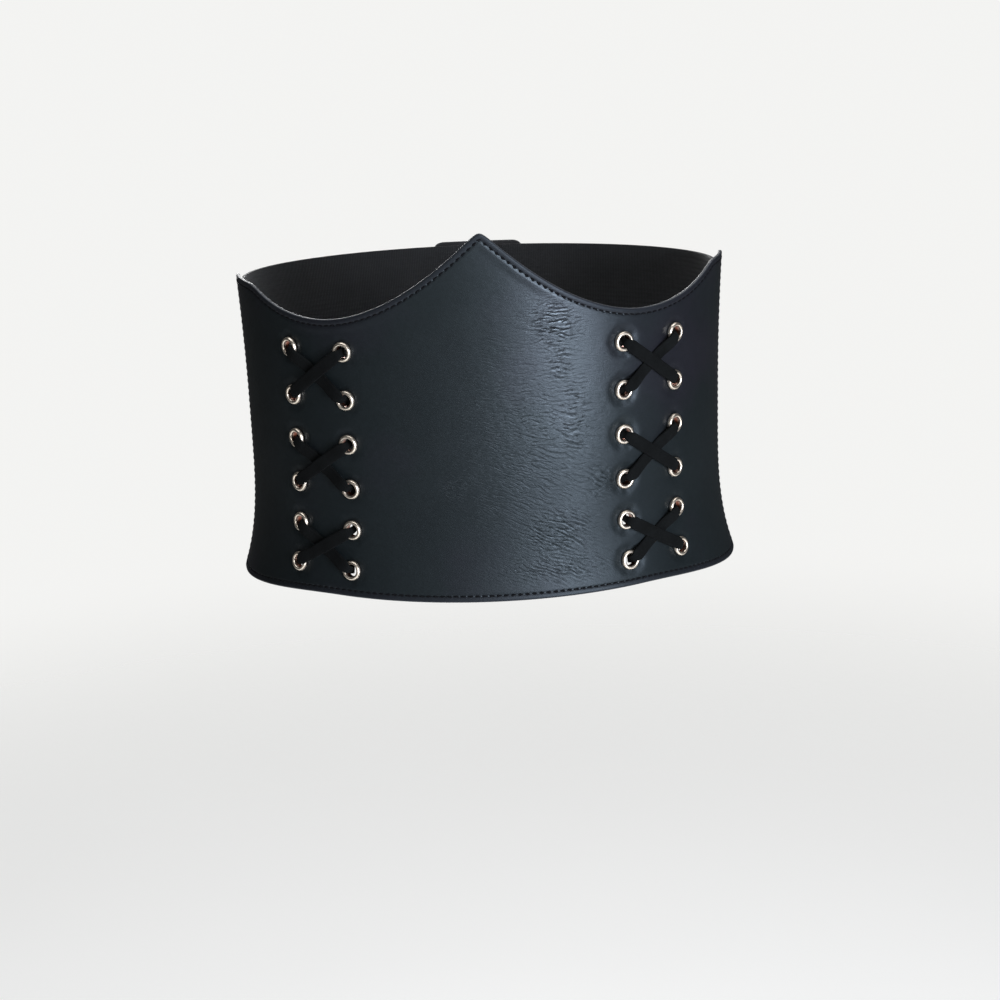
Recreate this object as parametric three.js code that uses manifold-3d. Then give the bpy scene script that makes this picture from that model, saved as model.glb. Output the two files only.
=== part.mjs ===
// A corset belt in its worn, rounded form: one wide leather front panel with a pointed top
// edge, two columns of eyelets crossed by a flat lace on each side, and a plain elastic back
// held by a snapped leather strap.
//
// Millimetres. +Z is up, the front faces -Y, and the origin is on the axis of the waist, at
// the height where the belt is narrowest. Right means +X. A length along the belt is measured
// round the waist line from the middle of the front, and a depth is measured inwards from the
// outer face of the leather.

import * as THREE from "three";
import { mergeVertices } from "three/addons/utils/BufferGeometryUtils.js";
import Module from "manifold-3d";

const wasm = await Module();
wasm.setup();

// The rounded form that the belt follows
const waistHalfWidth = 125;
const frontHalfDepth = 99;
const backHalfDepth = 90;
const ribFlare = 2;
const ribFlareRise = 70;
const hipFlare = 9;
const hipFlareDrop = 92;
const hipFlareStart = 15;
const hipFlarePower = 3.2;

// Outline of the front panel
const leatherThickness = 2;
const panelHalfLength = 171;
const peakHeight = 96.5;
const peakRounding = 2.1;
const scoopLength = 82.5;
const scoopHeight = 53;
const scoopPower = 1.92;
const rightTipLength = 137;
const rightTipHeight = 69.5;
const leftTipLength = 131;
const leftTipHeight = 66.7;
const tipRounding = 3;
const hemDropFront = 85.2;
const hemDropSide = 92;
const hemLevelLength = 75;
const hemFallLength = 90;
const cornerRadius = 4;

// The level tips that end the scoops: where each begins and its height. The belt as worn has
// ridden up a little at one side.
const sides = [
  { name: "right", sign: 1, tipLength: rightTipLength, tipHeight: rightTipHeight },
  { name: "left", sign: -1, tipLength: leftTipLength, tipHeight: leftTipHeight },
];

// Eyelets
const eyeletColumnLength = 70;
const eyeletColumnSpacing = 32.6;
const lacingTop = 38;
const lacingHeight = 110.4;
const eyeletOpeningRadius = 3.1;
const eyeletFlangeRadius = 5;
const eyeletBackRadius = 4.8;
const eyeletMetal = 0.5;
const eyeletCrest = 1.3;
const eyeletFit = 0.3;
const eyeletSeat = 0.4;
const eyeletSides = 10;

// Each row of eyelets, as a share of the lacing's height below its top row
const eyeletRows = [
  { name: "1", drop: 0 },
  { name: "2", drop: 0.217 },
  { name: "3", drop: 0.418 },
  { name: "4", drop: 0.624 },
  { name: "5", drop: 0.814 },
  { name: "6", drop: 1 },
];

// Laces
const laceWidth = 6.3;
const laceThickness = 1.3;
const laceGap = 0.3;
const laceEndLength = 20;
const laceEndRun = 3.1;

// Elastic and back strap
const elasticThickness = 1.5;
const elasticEdgeInset = 3;
const elasticTuck = 15;
const layerGap = 0.5;
const strapHalfLength = 26;
const strapThickness = 2.4;
const strapOverhang = 2;
const strapCornerRadius = 6;
const snapRadius = 6;
const snapCrest = 2;
const snapShoulderRadius = 4.2;
const snapShoulderRise = 1.7;
const snapRimRise = 0.65;
const snapCount = 4;
const snapSides = 10;

const leather = { color: 0x171a20, roughness: 0.5, metalness: 0 };
const gold = { color: 0xd8b878, roughness: 0.28, metalness: 1 };
const suede = { color: 0x0c0c0e, roughness: 0.95, metalness: 0 };
const elastic = { color: 0x101114, roughness: 0.85, metalness: 0 };

// How much wider the form is at a height than at the waist, and how fast that changes
function formScale(height) {
  const rise = Math.max(height, 0) / ribFlareRise;
  const drop = Math.max(-height - hipFlareStart, 0) / (hipFlareDrop - hipFlareStart);
  return 1 + (ribFlare * rise ** 2 + hipFlare * drop ** hipFlarePower) / waistHalfWidth;
}

function formSlope(height) {
  const step = 0.01;
  return (formScale(height + step) - formScale(height - step)) / (2 * step);
}

function halfDepthAt(angle) {
  return Math.cos(angle) > 0 ? frontHalfDepth : backHalfDepth;
}

// The running length of the waist line from the middle of the front to the middle of the back
const waistSteps = 1440;
const waistRun = [0];
for (let i = 0; i < waistSteps; i += 1) {
  const angle = ((i + 0.5) / waistSteps) * Math.PI;
  const speed = Math.hypot(waistHalfWidth * Math.cos(angle), halfDepthAt(angle) * Math.sin(angle));
  waistRun.push(waistRun[i] + (speed * Math.PI) / waistSteps);
}
const halfWaist = waistRun[waistSteps];

// The angle round the form at a length along the belt, on either side and past the back
function angleAt(length) {
  if (length < 0) {
    return -angleAt(-length);
  }
  if (length > halfWaist) {
    return 2 * Math.PI - angleAt(2 * halfWaist - length);
  }
  let low = 0;
  let high = waistSteps;
  while (high - low > 1) {
    const middle = (low + high) >> 1;
    if (waistRun[middle] > length) {
      high = middle;
    } else {
      low = middle;
    }
  }
  const share = (length - waistRun[low]) / (waistRun[high] - waistRun[low]);
  return ((low + share) / waistSteps) * Math.PI;
}

// A place on the outer face: its point, and the directions along, up and out of the leather
function placeAt(length, height) {
  const angle = angleAt(length);
  const scale = formScale(height);
  const slope = formSlope(height);
  const halfDepth = halfDepthAt(angle);
  const sine = Math.sin(angle);
  const cosine = Math.cos(angle);
  const point = new THREE.Vector3(waistHalfWidth * scale * sine, -halfDepth * scale * cosine, height);
  const along = new THREE.Vector3(waistHalfWidth * cosine, halfDepth * sine, 0).normalize();
  const up = new THREE.Vector3(waistHalfWidth * slope * sine, -halfDepth * slope * cosine, 1);
  const out = new THREE.Vector3().crossVectors(along, up).normalize();
  up.crossVectors(out, along);
  return { point, along, up, out };
}

function pointAt(length, height, depth) {
  const place = placeAt(length, height);
  return place.point.addScaledVector(place.out, -depth);
}

// How far a rounded corner draws an edge in, at a distance from the end of that edge
function cornerInset(fromEnd, radius) {
  const past = Math.min(Math.max(radius - fromEnd, 0), radius);
  return radius - Math.sqrt(radius ** 2 - past ** 2);
}

// The panel's top edge: a rounded point, a scoop on each side, and a level tip at each end
function panelTop(length) {
  const run = Math.hypot(length, peakRounding);
  const inside = Math.max(scoopLength - run, 0) / scoopLength;
  const { tipLength, tipHeight } = length < 0 ? sides[1] : sides[0];
  const outside = Math.max(run - scoopLength, 0) / (tipLength - scoopLength);
  const slope = (peakHeight - scoopHeight) * inside ** scoopPower;
  const scoop = scoopHeight + slope + (tipHeight - scoopHeight) * outside ** 2;
  const levelled = (scoop + tipHeight - Math.hypot(scoop - tipHeight, tipRounding)) / 2;
  const edge = THREE.MathUtils.lerp(scoop, levelled, Math.min(outside, 1));
  return edge - cornerInset(panelHalfLength - Math.abs(length), cornerRadius);
}

// The panel's hem: level across the front and lower towards the sides
function panelHem(length) {
  const share = (Math.abs(length) - hemLevelLength) / hemFallLength;
  const fall = THREE.MathUtils.smoothstep(share, 0, 1) * (hemDropSide - hemDropFront);
  return -hemDropFront - fall + cornerInset(panelHalfLength - Math.abs(length), cornerRadius);
}

// Values from the first to the last of some stops, with a number of equal steps between each
function spread(stops) {
  const values = [stops[0].at];
  for (let i = 1; i < stops.length; i += 1) {
    const from = stops[i - 1].at;
    const { at, steps } = stops[i];
    for (let k = 1; k <= steps; k += 1) {
      values.push(THREE.MathUtils.lerp(from, at, k / steps));
    }
  }
  return values;
}

// Shares of a rounded corner's radius where its arc is stepped, from its start to its end
const cornerSteps = [0.5, 0.85, 1];

function withCorner(lengths, radius) {
  const start = lengths[lengths.length - 1];
  return lengths.concat(cornerSteps.map((share) => start + radius * share));
}

// One list from the left end to the right one, out of two that both start in the middle
function bothSides(left, right) {
  const turned = left.slice(1).reverse().map((length) => -length);
  return turned.concat(right);
}

// A closed curved wall on the form, from one depth to another between a lower and upper edge.
// Its rows lie closer together towards the hem, where the form flares.
const rowBias = 1.4;

function wallGeometry({ lengths, rows, lower, upper, outerDepth, innerDepth }) {
  const positions = [];
  const indices = [];
  const columnPoints = rows + 1;
  const facePoints = lengths.length * columnPoints;
  for (const depth of [outerDepth, innerDepth]) {
    for (const length of lengths) {
      for (let row = 0; row <= rows; row += 1) {
        const share = (row / rows) ** rowBias;
        const height = THREE.MathUtils.lerp(lower(length), upper(length), share);
        positions.push(...pointAt(length, height, depth).toArray());
      }
    }
  }
  const outer = (column, row) => column * columnPoints + row;
  const inner = (column, row) => facePoints + outer(column, row);
  const quad = (a, b, c, d) => indices.push(a, b, c, a, c, d);
  const last = lengths.length - 1;
  for (let column = 0; column < last; column += 1) {
    const next = column + 1;
    for (let row = 0; row < rows; row += 1) {
      quad(outer(column, row), outer(next, row), outer(next, row + 1), outer(column, row + 1));
      quad(inner(next, row), inner(column, row), inner(column, row + 1), inner(next, row + 1));
    }
    quad(inner(column, 0), inner(next, 0), outer(next, 0), outer(column, 0));
    quad(outer(column, rows), outer(next, rows), inner(next, rows), inner(column, rows));
  }
  for (let row = 0; row < rows; row += 1) {
    quad(inner(0, row), outer(0, row), outer(0, row + 1), inner(0, row + 1));
    quad(outer(last, row), inner(last, row), inner(last, row + 1), outer(last, row + 1));
  }
  const geometry = new THREE.BufferGeometry();
  geometry.setAttribute("position", new THREE.Float32BufferAttribute(positions, 3));
  geometry.setIndex(indices);
  return geometry;
}

function toSolid(geometry) {
  const plain = geometry.clone();
  plain.deleteAttribute("normal");
  plain.deleteAttribute("uv");
  const merged = mergeVertices(plain);
  const mesh = new wasm.Mesh({
    numProp: 3,
    vertProperties: new Float32Array(merged.attributes.position.array),
    triVerts: new Uint32Array(merged.index.array),
  });
  return new wasm.Manifold(mesh);
}

function toGeometry(solid) {
  const mesh = solid.getMesh();
  const geometry = new THREE.BufferGeometry();
  geometry.setAttribute("position", new THREE.Float32BufferAttribute(mesh.vertProperties, 3));
  geometry.setIndex(Array.from(mesh.triVerts));
  return geometry;
}

function makeMesh(name, geometry, finish) {
  geometry.computeVertexNormals();
  const mesh = new THREE.Mesh(geometry, new THREE.MeshStandardMaterial(finish));
  mesh.name = name;
  return mesh;
}

// Turns a shape made round +Y so that +Y points out of the leather at a place
function turnOut(place) {
  const basis = new THREE.Matrix4().makeBasis(place.along, place.out, place.up.clone().negate());
  return new THREE.Quaternion().setFromRotationMatrix(basis);
}

// The two eyelet columns of a side
const columns = [
  { name: "inner", length: eyeletColumnLength },
  { name: "outer", length: eyeletColumnLength + eyeletColumnSpacing },
];

function eyeletPlace(sign, column, row) {
  const length = sign * column.length;
  const height = lacingTop - lacingHeight * row.drop;
  return { length, height, ...placeAt(length, height) };
}

// Rings with a hollow barrel, set through the leather and rolled over on both faces
const barrelRadius = eyeletOpeningRadius + eyeletMetal;
const holeRadius = barrelRadius + eyeletFit;

function eyeletGeometry() {
  const back = -leatherThickness - eyeletSeat;
  const crestRadius = (eyeletOpeningRadius + eyeletFlangeRadius) / 2;
  const profile = [
    new THREE.Vector2(eyeletOpeningRadius, back - eyeletMetal),
    new THREE.Vector2(eyeletBackRadius, back - eyeletMetal / 2),
    new THREE.Vector2(barrelRadius, back),
    new THREE.Vector2(barrelRadius, eyeletSeat),
    new THREE.Vector2(eyeletFlangeRadius, eyeletSeat),
    new THREE.Vector2(crestRadius, eyeletSeat + eyeletCrest),
    new THREE.Vector2(eyeletOpeningRadius, eyeletSeat + eyeletCrest / 2),
  ];
  profile.push(profile[0].clone());
  return new THREE.LatheGeometry(profile, eyeletSides);
}

function eyelets() {
  const group = new THREE.Group();
  for (const side of sides) {
    for (const column of columns) {
      for (const row of eyeletRows) {
        const place = eyeletPlace(side.sign, column, row);
        const name = `eyelet_${side.name}_${column.name}_${row.name}`;
        const mesh = makeMesh(name, eyeletGeometry(), gold);
        mesh.position.copy(place.point);
        mesh.quaternion.copy(turnOut(place));
        group.add(mesh);
      }
    }
  }
  return group;
}

// The front panel, with a hole for each eyelet
function frontPanel() {
  const [right, left] = sides.map((side) => withCorner(spread([
    { at: 0 },
    { at: 3 * peakRounding, steps: 3 },
    { at: scoopLength, steps: 11 },
    { at: side.tipLength - 3 * tipRounding, steps: 6 },
    { at: side.tipLength + 3 * tipRounding, steps: 4 },
    { at: panelHalfLength - cornerRadius, steps: 3 },
  ]), cornerRadius));
  const wall = toSolid(wallGeometry({
    lengths: bothSides(left, right),
    rows: 8,
    lower: panelHem,
    upper: panelTop,
    outerDepth: 0,
    innerDepth: leatherThickness,
  }));
  const holes = [];
  for (const side of sides) {
    for (const column of columns) {
      for (const row of eyeletRows) {
        const place = eyeletPlace(side.sign, column, row);
        const drill = new THREE.CylinderGeometry(holeRadius, holeRadius, 4 * leatherThickness, eyeletSides);
        drill.applyQuaternion(turnOut(place));
        drill.translate(...place.point.toArray());
        holes.push(toSolid(drill));
      }
    }
  }
  const cut = holes.reduce((solid, hole) => solid.subtract(hole), wall);
  return makeMesh("front_panel", toGeometry(cut), leather);
}

// Heights of a lace's middle above the outer face, over the eyelets and where strands cross
const laceOverRim = eyeletSeat + eyeletCrest + laceGap + laceThickness / 2;
const laceUnder = laceGap + laceThickness / 2;
const laceOver = laceUnder + laceThickness + laceGap;
const laceBehind = -(leatherThickness + eyeletSeat + eyeletMetal + laceGap + laceThickness / 2);

// The lace leans towards the strand that it joins and is squeezed to pass the opening
const laceLean = 0.7;
const laceSqueeze = 0.86;
const throatRadius = eyeletOpeningRadius * Math.cos(Math.PI / eyeletSides) - laceGap;
const throatChord = 2 * Math.sqrt(throatRadius ** 2 - (laceLean + laceThickness / 2) ** 2);
const throatWidth = laceSqueeze * throatChord;

// Steps of a lace from an eyelet's mouth to the free strand. Reach is a share of the way from
// its lean in the mouth to the flange's edge, rise a share of the way up from the mouth to
// the strand's height, and open a share of the way to the lace's full width.
const mouthSteps = [
  { reach: 0, rise: 0, open: 0 },
  { reach: 0.12, rise: 0.84, open: 0.2 },
  { reach: 0.42, rise: 0.97, open: 0.45 },
  { reach: 0.72, rise: 1, open: 1 },
  { reach: 1.14, rise: 1, open: 1 },
];

// The part of a lace's route at one eyelet, from its axis out to a strand in a direction
function mouthStations(place, towards, mouth, strand) {
  const across = new THREE.Vector3().crossVectors(place.out, towards);
  return mouthSteps.map((step) => {
    const point = place.point.clone();
    point.addScaledVector(towards, THREE.MathUtils.lerp(laceLean, eyeletFlangeRadius, step.reach));
    point.addScaledVector(place.out, THREE.MathUtils.lerp(mouth, strand, step.rise));
    return { point, across, width: THREE.MathUtils.lerp(throatWidth, laceWidth, step.open) };
  });
}

function directionTo(place, target) {
  const towards = target.point.clone().sub(place.point);
  towards.addScaledVector(place.out, -towards.dot(place.out));
  return towards.normalize();
}

// A strand on the face from one eyelet to another, low or high where it meets its partner
function faceStations(from, to, height) {
  const run = from.point.distanceTo(to.point);
  const halfCrossing = laceWidth / run;
  return [0.5 - halfCrossing, 0.5, 0.5 + halfCrossing].map((share) => {
    const length = THREE.MathUtils.lerp(from.length, to.length, share);
    const level = THREE.MathUtils.lerp(from.height, to.height, share);
    const place = placeAt(length, level);
    const across = new THREE.Vector3().crossVectors(place.out, directionTo(place, to));
    return { point: place.point.addScaledVector(place.out, height), across, width: laceWidth };
  });
}

// Keeps the lace's flat side from flipping over: each station's width follows the one before
function settleAcross(stations) {
  for (let i = 1; i < stations.length; i += 1) {
    if (stations[i].across.dot(stations[i - 1].across) < 0) {
      stations[i].across = stations[i].across.clone().negate();
    }
  }
  return stations;
}

// A flat ribbon through a list of stations, closed at both ends
function ribbonGeometry(stations) {
  const positions = [];
  const indices = [];
  const corners = 4;
  stations.forEach((station, i) => {
    const before = stations[Math.max(i - 1, 0)].point;
    const after = stations[Math.min(i + 1, stations.length - 1)].point;
    const tangent = after.clone().sub(before).normalize();
    const across = station.across.clone().addScaledVector(tangent, -station.across.dot(tangent));
    across.normalize();
    const normal = new THREE.Vector3().crossVectors(tangent, across);
    for (const [side, face] of [[1, 1], [-1, 1], [-1, -1], [1, -1]]) {
      const corner = station.point.clone();
      corner.addScaledVector(across, (side * station.width) / 2);
      corner.addScaledVector(normal, (face * laceThickness) / 2);
      positions.push(...corner.toArray());
    }
  });
  for (let i = 0; i < stations.length - 1; i += 1) {
    for (let k = 0; k < corners; k += 1) {
      const a = i * corners + k;
      const b = i * corners + ((k + 1) % corners);
      indices.push(a, b, b + corners, a, b + corners, a + corners);
    }
  }
  const end = (stations.length - 1) * corners;
  indices.push(0, 2, 1, 0, 3, 2, end, end + 1, end + 2, end, end + 2, end + 3);
  const geometry = new THREE.BufferGeometry();
  geometry.setAttribute("position", new THREE.Float32BufferAttribute(positions, 3));
  geometry.setIndex(indices);
  return geometry;
}

// The lace's way through the eyelets of one side. It starts behind the lowest inner eyelet,
// climbs in crossed strands to the top pair, and comes down again to the lowest outer one.
const laceRoute = [
  { column: 0, row: 5 },
  { column: 1, row: 4 },
  { column: 1, row: 3 },
  { column: 0, row: 2 },
  { column: 0, row: 1 },
  { column: 1, row: 0 },
  { column: 0, row: 0 },
  { column: 1, row: 1 },
  { column: 1, row: 2 },
  { column: 0, row: 3 },
  { column: 0, row: 4 },
  { column: 1, row: 5 },
];

// In each crossing the strand from the upper inner eyelet to the lower outer one lies on top
function liesOver(stop, next) {
  return (stop.row > next.row) === (stop.column > next.column);
}

// A loose end behind the panel, lying flat towards the other end. The lap is how much deeper
// it lies than the other one.
function endStations(place, other, lap) {
  const towards = directionTo(place, other);
  const stations = mouthStations(place, towards, -leatherThickness, laceBehind);
  const across = stations[0].across;
  const chord = other.point.clone().sub(place.point).normalize();
  const start = eyeletFlangeRadius + laceEndRun + lap;
  for (const reach of [start, laceEndLength]) {
    const point = place.point.clone();
    point.addScaledVector(chord, reach);
    point.addScaledVector(place.out, laceBehind - lap);
    stations.push({ point, across, width: laceWidth });
  }
  return stations;
}

function lace(side) {
  const places = laceRoute.map((stop) => {
    return eyeletPlace(side.sign, columns[stop.column], eyeletRows[stop.row]);
  });
  const last = places.length - 1;
  const lap = laceThickness + laceGap;
  const stations = endStations(places[0], places[last], 0).reverse();
  for (let i = 0; i < last; i += 1) {
    const [stop, next] = laceRoute.slice(i, i + 2);
    const [from, to] = places.slice(i, i + 2);
    const onFace = i % 2 === 0;
    const mouth = onFace ? 0 : -leatherThickness;
    const strand = onFace ? laceOverRim : laceBehind;
    stations.push(...mouthStations(from, directionTo(from, to), mouth, strand));
    if (onFace) {
      stations.push(...faceStations(from, to, liesOver(stop, next) ? laceOver : laceUnder));
    }
    stations.push(...mouthStations(to, directionTo(to, from), mouth, strand).reverse());
  }
  stations.push(...endStations(places[last], places[0], lap));
  return makeMesh(`lace_${side.name}`, ribbonGeometry(settleAcross(stations)), suede);
}

// The elastic, from behind the panel's side edge to behind the back strap
const elasticTop = Math.min(...sides.map((side) => side.tipHeight)) - elasticEdgeInset;
const elasticHem = -hemDropSide + elasticEdgeInset;
const elasticDepth = leatherThickness + layerGap;

function elasticBack(side) {
  const lengths = spread([
    { at: panelHalfLength - elasticTuck },
    { at: halfWaist - strapHalfLength + elasticTuck, steps: 15 },
  ]);
  const ordered = side.sign > 0 ? lengths : lengths.map((length) => -length).reverse();
  const geometry = wallGeometry({
    lengths: ordered,
    rows: 7,
    lower: () => elasticHem,
    upper: () => elasticTop,
    outerDepth: elasticDepth,
    innerDepth: elasticDepth + elasticThickness,
  });
  return makeMesh(`elastic_${side.name}`, geometry, elastic);
}

// The strap over the elastic's ends at the back, with a column of snap caps
function snapGeometry() {
  const profile = [
    new THREE.Vector2(0, -strapThickness / 2),
    new THREE.Vector2(snapRadius, -strapThickness / 2),
    new THREE.Vector2(snapRadius, snapRimRise),
    new THREE.Vector2(snapShoulderRadius, snapShoulderRise),
    new THREE.Vector2(0, snapCrest),
  ];
  return new THREE.LatheGeometry(profile, snapSides);
}

function backStrap() {
  const top = elasticTop + strapOverhang;
  const hem = elasticHem - strapOverhang;
  const innerDepth = elasticDepth - layerGap;
  const outerDepth = innerDepth - strapThickness;
  const level = spread([{ at: 0 }, { at: strapHalfLength - strapCornerRadius, steps: 3 }]);
  const half = withCorner(level, strapCornerRadius);
  const inset = (length) => {
    return cornerInset(strapHalfLength - Math.abs(length - halfWaist), strapCornerRadius);
  };
  let solid = toSolid(wallGeometry({
    lengths: bothSides(half, half).map((length) => halfWaist + length),
    rows: 7,
    lower: (length) => hem + inset(length),
    upper: (length) => top - inset(length),
    outerDepth,
    innerDepth,
  }));
  for (let i = 0; i < snapCount; i += 1) {
    const height = THREE.MathUtils.lerp(hem, top, (i + 0.5) / snapCount);
    const place = placeAt(halfWaist, height);
    const cap = snapGeometry();
    cap.applyQuaternion(turnOut(place));
    cap.translate(...place.point.addScaledVector(place.out, -outerDepth).toArray());
    solid = solid.add(toSolid(cap));
  }
  return makeMesh("back_strap", toGeometry(solid), leather);
}

const corsetBelt = new THREE.Group();
corsetBelt.add(frontPanel());
corsetBelt.add(eyelets());
for (const side of sides) {
  corsetBelt.add(lace(side));
  corsetBelt.add(elasticBack(side));
}
corsetBelt.add(backStrap());

export default corsetBelt;
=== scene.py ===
"""A corset belt: its leather front, rolled eyelets, suede laces, stitching, elastic back and
snapped strap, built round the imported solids, with a camera and a plain pale studio."""

import math

import bpy
import numpy as np
from mathutils import Matrix, Vector, kdtree, noise


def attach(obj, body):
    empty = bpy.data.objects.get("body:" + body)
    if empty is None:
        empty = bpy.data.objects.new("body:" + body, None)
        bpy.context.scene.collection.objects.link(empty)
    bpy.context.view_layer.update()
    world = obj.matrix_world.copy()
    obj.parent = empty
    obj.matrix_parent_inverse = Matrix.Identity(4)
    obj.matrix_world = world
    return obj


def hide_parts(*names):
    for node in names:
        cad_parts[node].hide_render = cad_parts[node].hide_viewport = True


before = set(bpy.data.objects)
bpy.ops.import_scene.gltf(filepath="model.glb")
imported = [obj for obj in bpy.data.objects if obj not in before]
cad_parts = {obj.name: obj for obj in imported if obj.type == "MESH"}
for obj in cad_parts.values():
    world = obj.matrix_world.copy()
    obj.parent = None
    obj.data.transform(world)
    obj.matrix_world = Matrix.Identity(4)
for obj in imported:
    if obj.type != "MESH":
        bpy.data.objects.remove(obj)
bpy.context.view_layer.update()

bl_info = {
    "name": "Corset Belt",
    "version": (1, 0, 0),
    "blender": (4, 5, 0),
    "location": "View3D > Sidebar > Corset Belt",
    "description": "Builds the leather, eyelets, laces and elastic of a corset belt",
    "category": "Add Mesh",
}

BODY = "root"
MM = 0.001
TINY = 1e-12

# The rounded form that the belt follows, in metres as in the solids
WAIST_HALF_WIDTH = 0.125
FRONT_HALF_DEPTH = 0.099
BACK_HALF_DEPTH = 0.090
RIB_FLARE = 0.002
RIB_FLARE_RISE = 0.070
HIP_FLARE = 0.009
HIP_FLARE_DROP = 0.092
HIP_FLARE_START = 0.015
HIP_FLARE_POWER = 3.2

# Outline of the front panel
LEATHER = 0.002
PANEL_HALF = 0.171
PEAK_HEIGHT = 0.0965
PEAK_ROUNDING = 0.0021
SCOOP_LENGTH = 0.0825
SCOOP_HEIGHT = 0.053
SCOOP_POWER = 1.92
RIGHT_TIP = {"length": 0.137, "height": 0.0695}
LEFT_TIP = {"length": 0.131, "height": 0.0667}
TIP_ROUNDING = 0.003
HEM_DROP_FRONT = 0.0852
HEM_DROP_SIDE = 0.092
HEM_LEVEL = 0.075
HEM_FALL = 0.090
CORNER_RADIUS = 0.004

# Eyelets and laces
COLUMN_LENGTHS = (0.070, 0.1026)
LACING_TOP = 0.038
LACING_HEIGHT = 0.1104
ROW_DROPS = (0, 0.217, 0.418, 0.624, 0.814, 1)
HOLE_RADIUS = 0.0039
OPENING_RADIUS = 0.0031
FLANGE_RADIUS = 0.005
EYELET_SEAT = 0.0004
EYELET_METAL = 0.0005
EYELET_CREST = 0.0013
LACE_GAP = 0.0003

# Elastic and back strap
ELASTIC = 0.0015
ELASTIC_TOP = LEFT_TIP["height"] - 0.003
ELASTIC_HEM = -HEM_DROP_SIDE + 0.003
ELASTIC_TUCK = 0.015
LAYER_GAP = 0.0005
ELASTIC_DEPTH = LEATHER + LAYER_GAP
STRAP_HALF = 0.026
STRAP = 0.0024
STRAP_OVERHANG = 0.002
STRAP_CORNER = 0.006
STRAP_DEPTH = ELASTIC_DEPTH - LAYER_GAP - STRAP
SNAP_COUNT = 4

EYELET_NODES = [name for name in sorted(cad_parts) if name.startswith("eyelet_")]


def form_scale(height):
    """How much wider the form is at a height than at the waist."""
    rise = np.maximum(height, 0) / RIB_FLARE_RISE
    drop = np.maximum(-height - HIP_FLARE_START, 0) / (HIP_FLARE_DROP - HIP_FLARE_START)
    return 1 + (RIB_FLARE * rise**2 + HIP_FLARE * drop**HIP_FLARE_POWER) / WAIST_HALF_WIDTH


def form_slope(height):
    """How fast the form widens with the height."""
    step = 0.01 * MM
    return (form_scale(height + step) - form_scale(height - step)) / (2 * step)


def half_depth(angle):
    return np.where(np.cos(angle) > 0, FRONT_HALF_DEPTH, BACK_HALF_DEPTH)


def waist_line(steps=1440):
    """Angles round the form, and the running length of the waist line at each."""
    middles = (np.arange(steps) + 0.5) / steps * math.pi
    speed = np.hypot(WAIST_HALF_WIDTH * np.cos(middles), half_depth(middles) * np.sin(middles))
    run = np.concatenate([[0], np.cumsum(speed) * math.pi / steps])
    return np.linspace(0, math.pi, steps + 1), run


WAIST_ANGLES, WAIST_RUN = waist_line()
HALF_WAIST = WAIST_RUN[-1]


def angle_at(length):
    """The angle round the form at a length along the belt from the middle of the front."""
    size = np.abs(length)
    past = size > HALF_WAIST
    angle = np.interp(np.where(past, 2 * HALF_WAIST - size, size), WAIST_RUN, WAIST_ANGLES)
    return np.sign(length) * np.where(past, 2 * math.pi - angle, angle)


def place_at(length, height):
    """Points on the outer face, with the directions along, up and out of the leather."""
    length, height = np.broadcast_arrays(np.asarray(length, float), np.asarray(height, float))
    angle = angle_at(length)
    scale, slope, depth = form_scale(height), form_slope(height), half_depth(angle)
    sine, cosine = np.sin(angle), np.cos(angle)
    point = np.stack([WAIST_HALF_WIDTH * scale * sine, -depth * scale * cosine, height], -1)
    along = unit(np.stack([WAIST_HALF_WIDTH * cosine, depth * sine, 0 * sine], -1))
    up = np.stack([WAIST_HALF_WIDTH * slope * sine, -depth * slope * cosine, 1 + 0 * sine], -1)
    out = unit(np.cross(along, up))
    return point, along, np.cross(out, along), out


def unit(vectors):
    sizes = np.linalg.norm(vectors, axis=-1, keepdims=True)
    return vectors / np.maximum(sizes, TINY)


def smoothstep(low, high, value):
    share = np.clip((value - low) / (high - low), 0, 1)
    return share * share * (3 - 2 * share)


def corner_inset(from_end, radius):
    past = np.clip(radius - from_end, 0, radius)
    return radius - np.sqrt(radius**2 - past**2)


def panel_top(length):
    """The panel's top edge: a rounded point, two scoops, and a level tip at each end."""
    tip_length = np.where(length < 0, LEFT_TIP["length"], RIGHT_TIP["length"])
    tip_height = np.where(length < 0, LEFT_TIP["height"], RIGHT_TIP["height"])
    run = np.hypot(length, PEAK_ROUNDING)
    inside = np.maximum(SCOOP_LENGTH - run, 0) / SCOOP_LENGTH
    outside = np.maximum(run - SCOOP_LENGTH, 0) / (tip_length - SCOOP_LENGTH)
    scoop = SCOOP_HEIGHT + (PEAK_HEIGHT - SCOOP_HEIGHT) * inside**SCOOP_POWER
    scoop = scoop + (tip_height - SCOOP_HEIGHT) * outside**2
    levelled = (scoop + tip_height - np.hypot(scoop - tip_height, TIP_ROUNDING)) / 2
    edge = scoop + (levelled - scoop) * np.minimum(outside, 1)
    return edge - corner_inset(PANEL_HALF - np.abs(length), CORNER_RADIUS)


def panel_hem(length):
    """The panel's hem: level across the front and lower towards the sides."""
    fall = smoothstep(0, 1, (np.abs(length) - HEM_LEVEL) / HEM_FALL)
    drop = HEM_DROP_FRONT + fall * (HEM_DROP_SIDE - HEM_DROP_FRONT)
    return -drop + corner_inset(PANEL_HALF - np.abs(length), CORNER_RADIUS)


def eyelet_places():
    """The length and height of each eyelet's centre, in one array."""
    places = [
        (sign * column, LACING_TOP - LACING_HEIGHT * drop)
        for sign in (1, -1)
        for column in COLUMN_LENGTHS
        for drop in ROW_DROPS
    ]
    return np.array(places)


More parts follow.
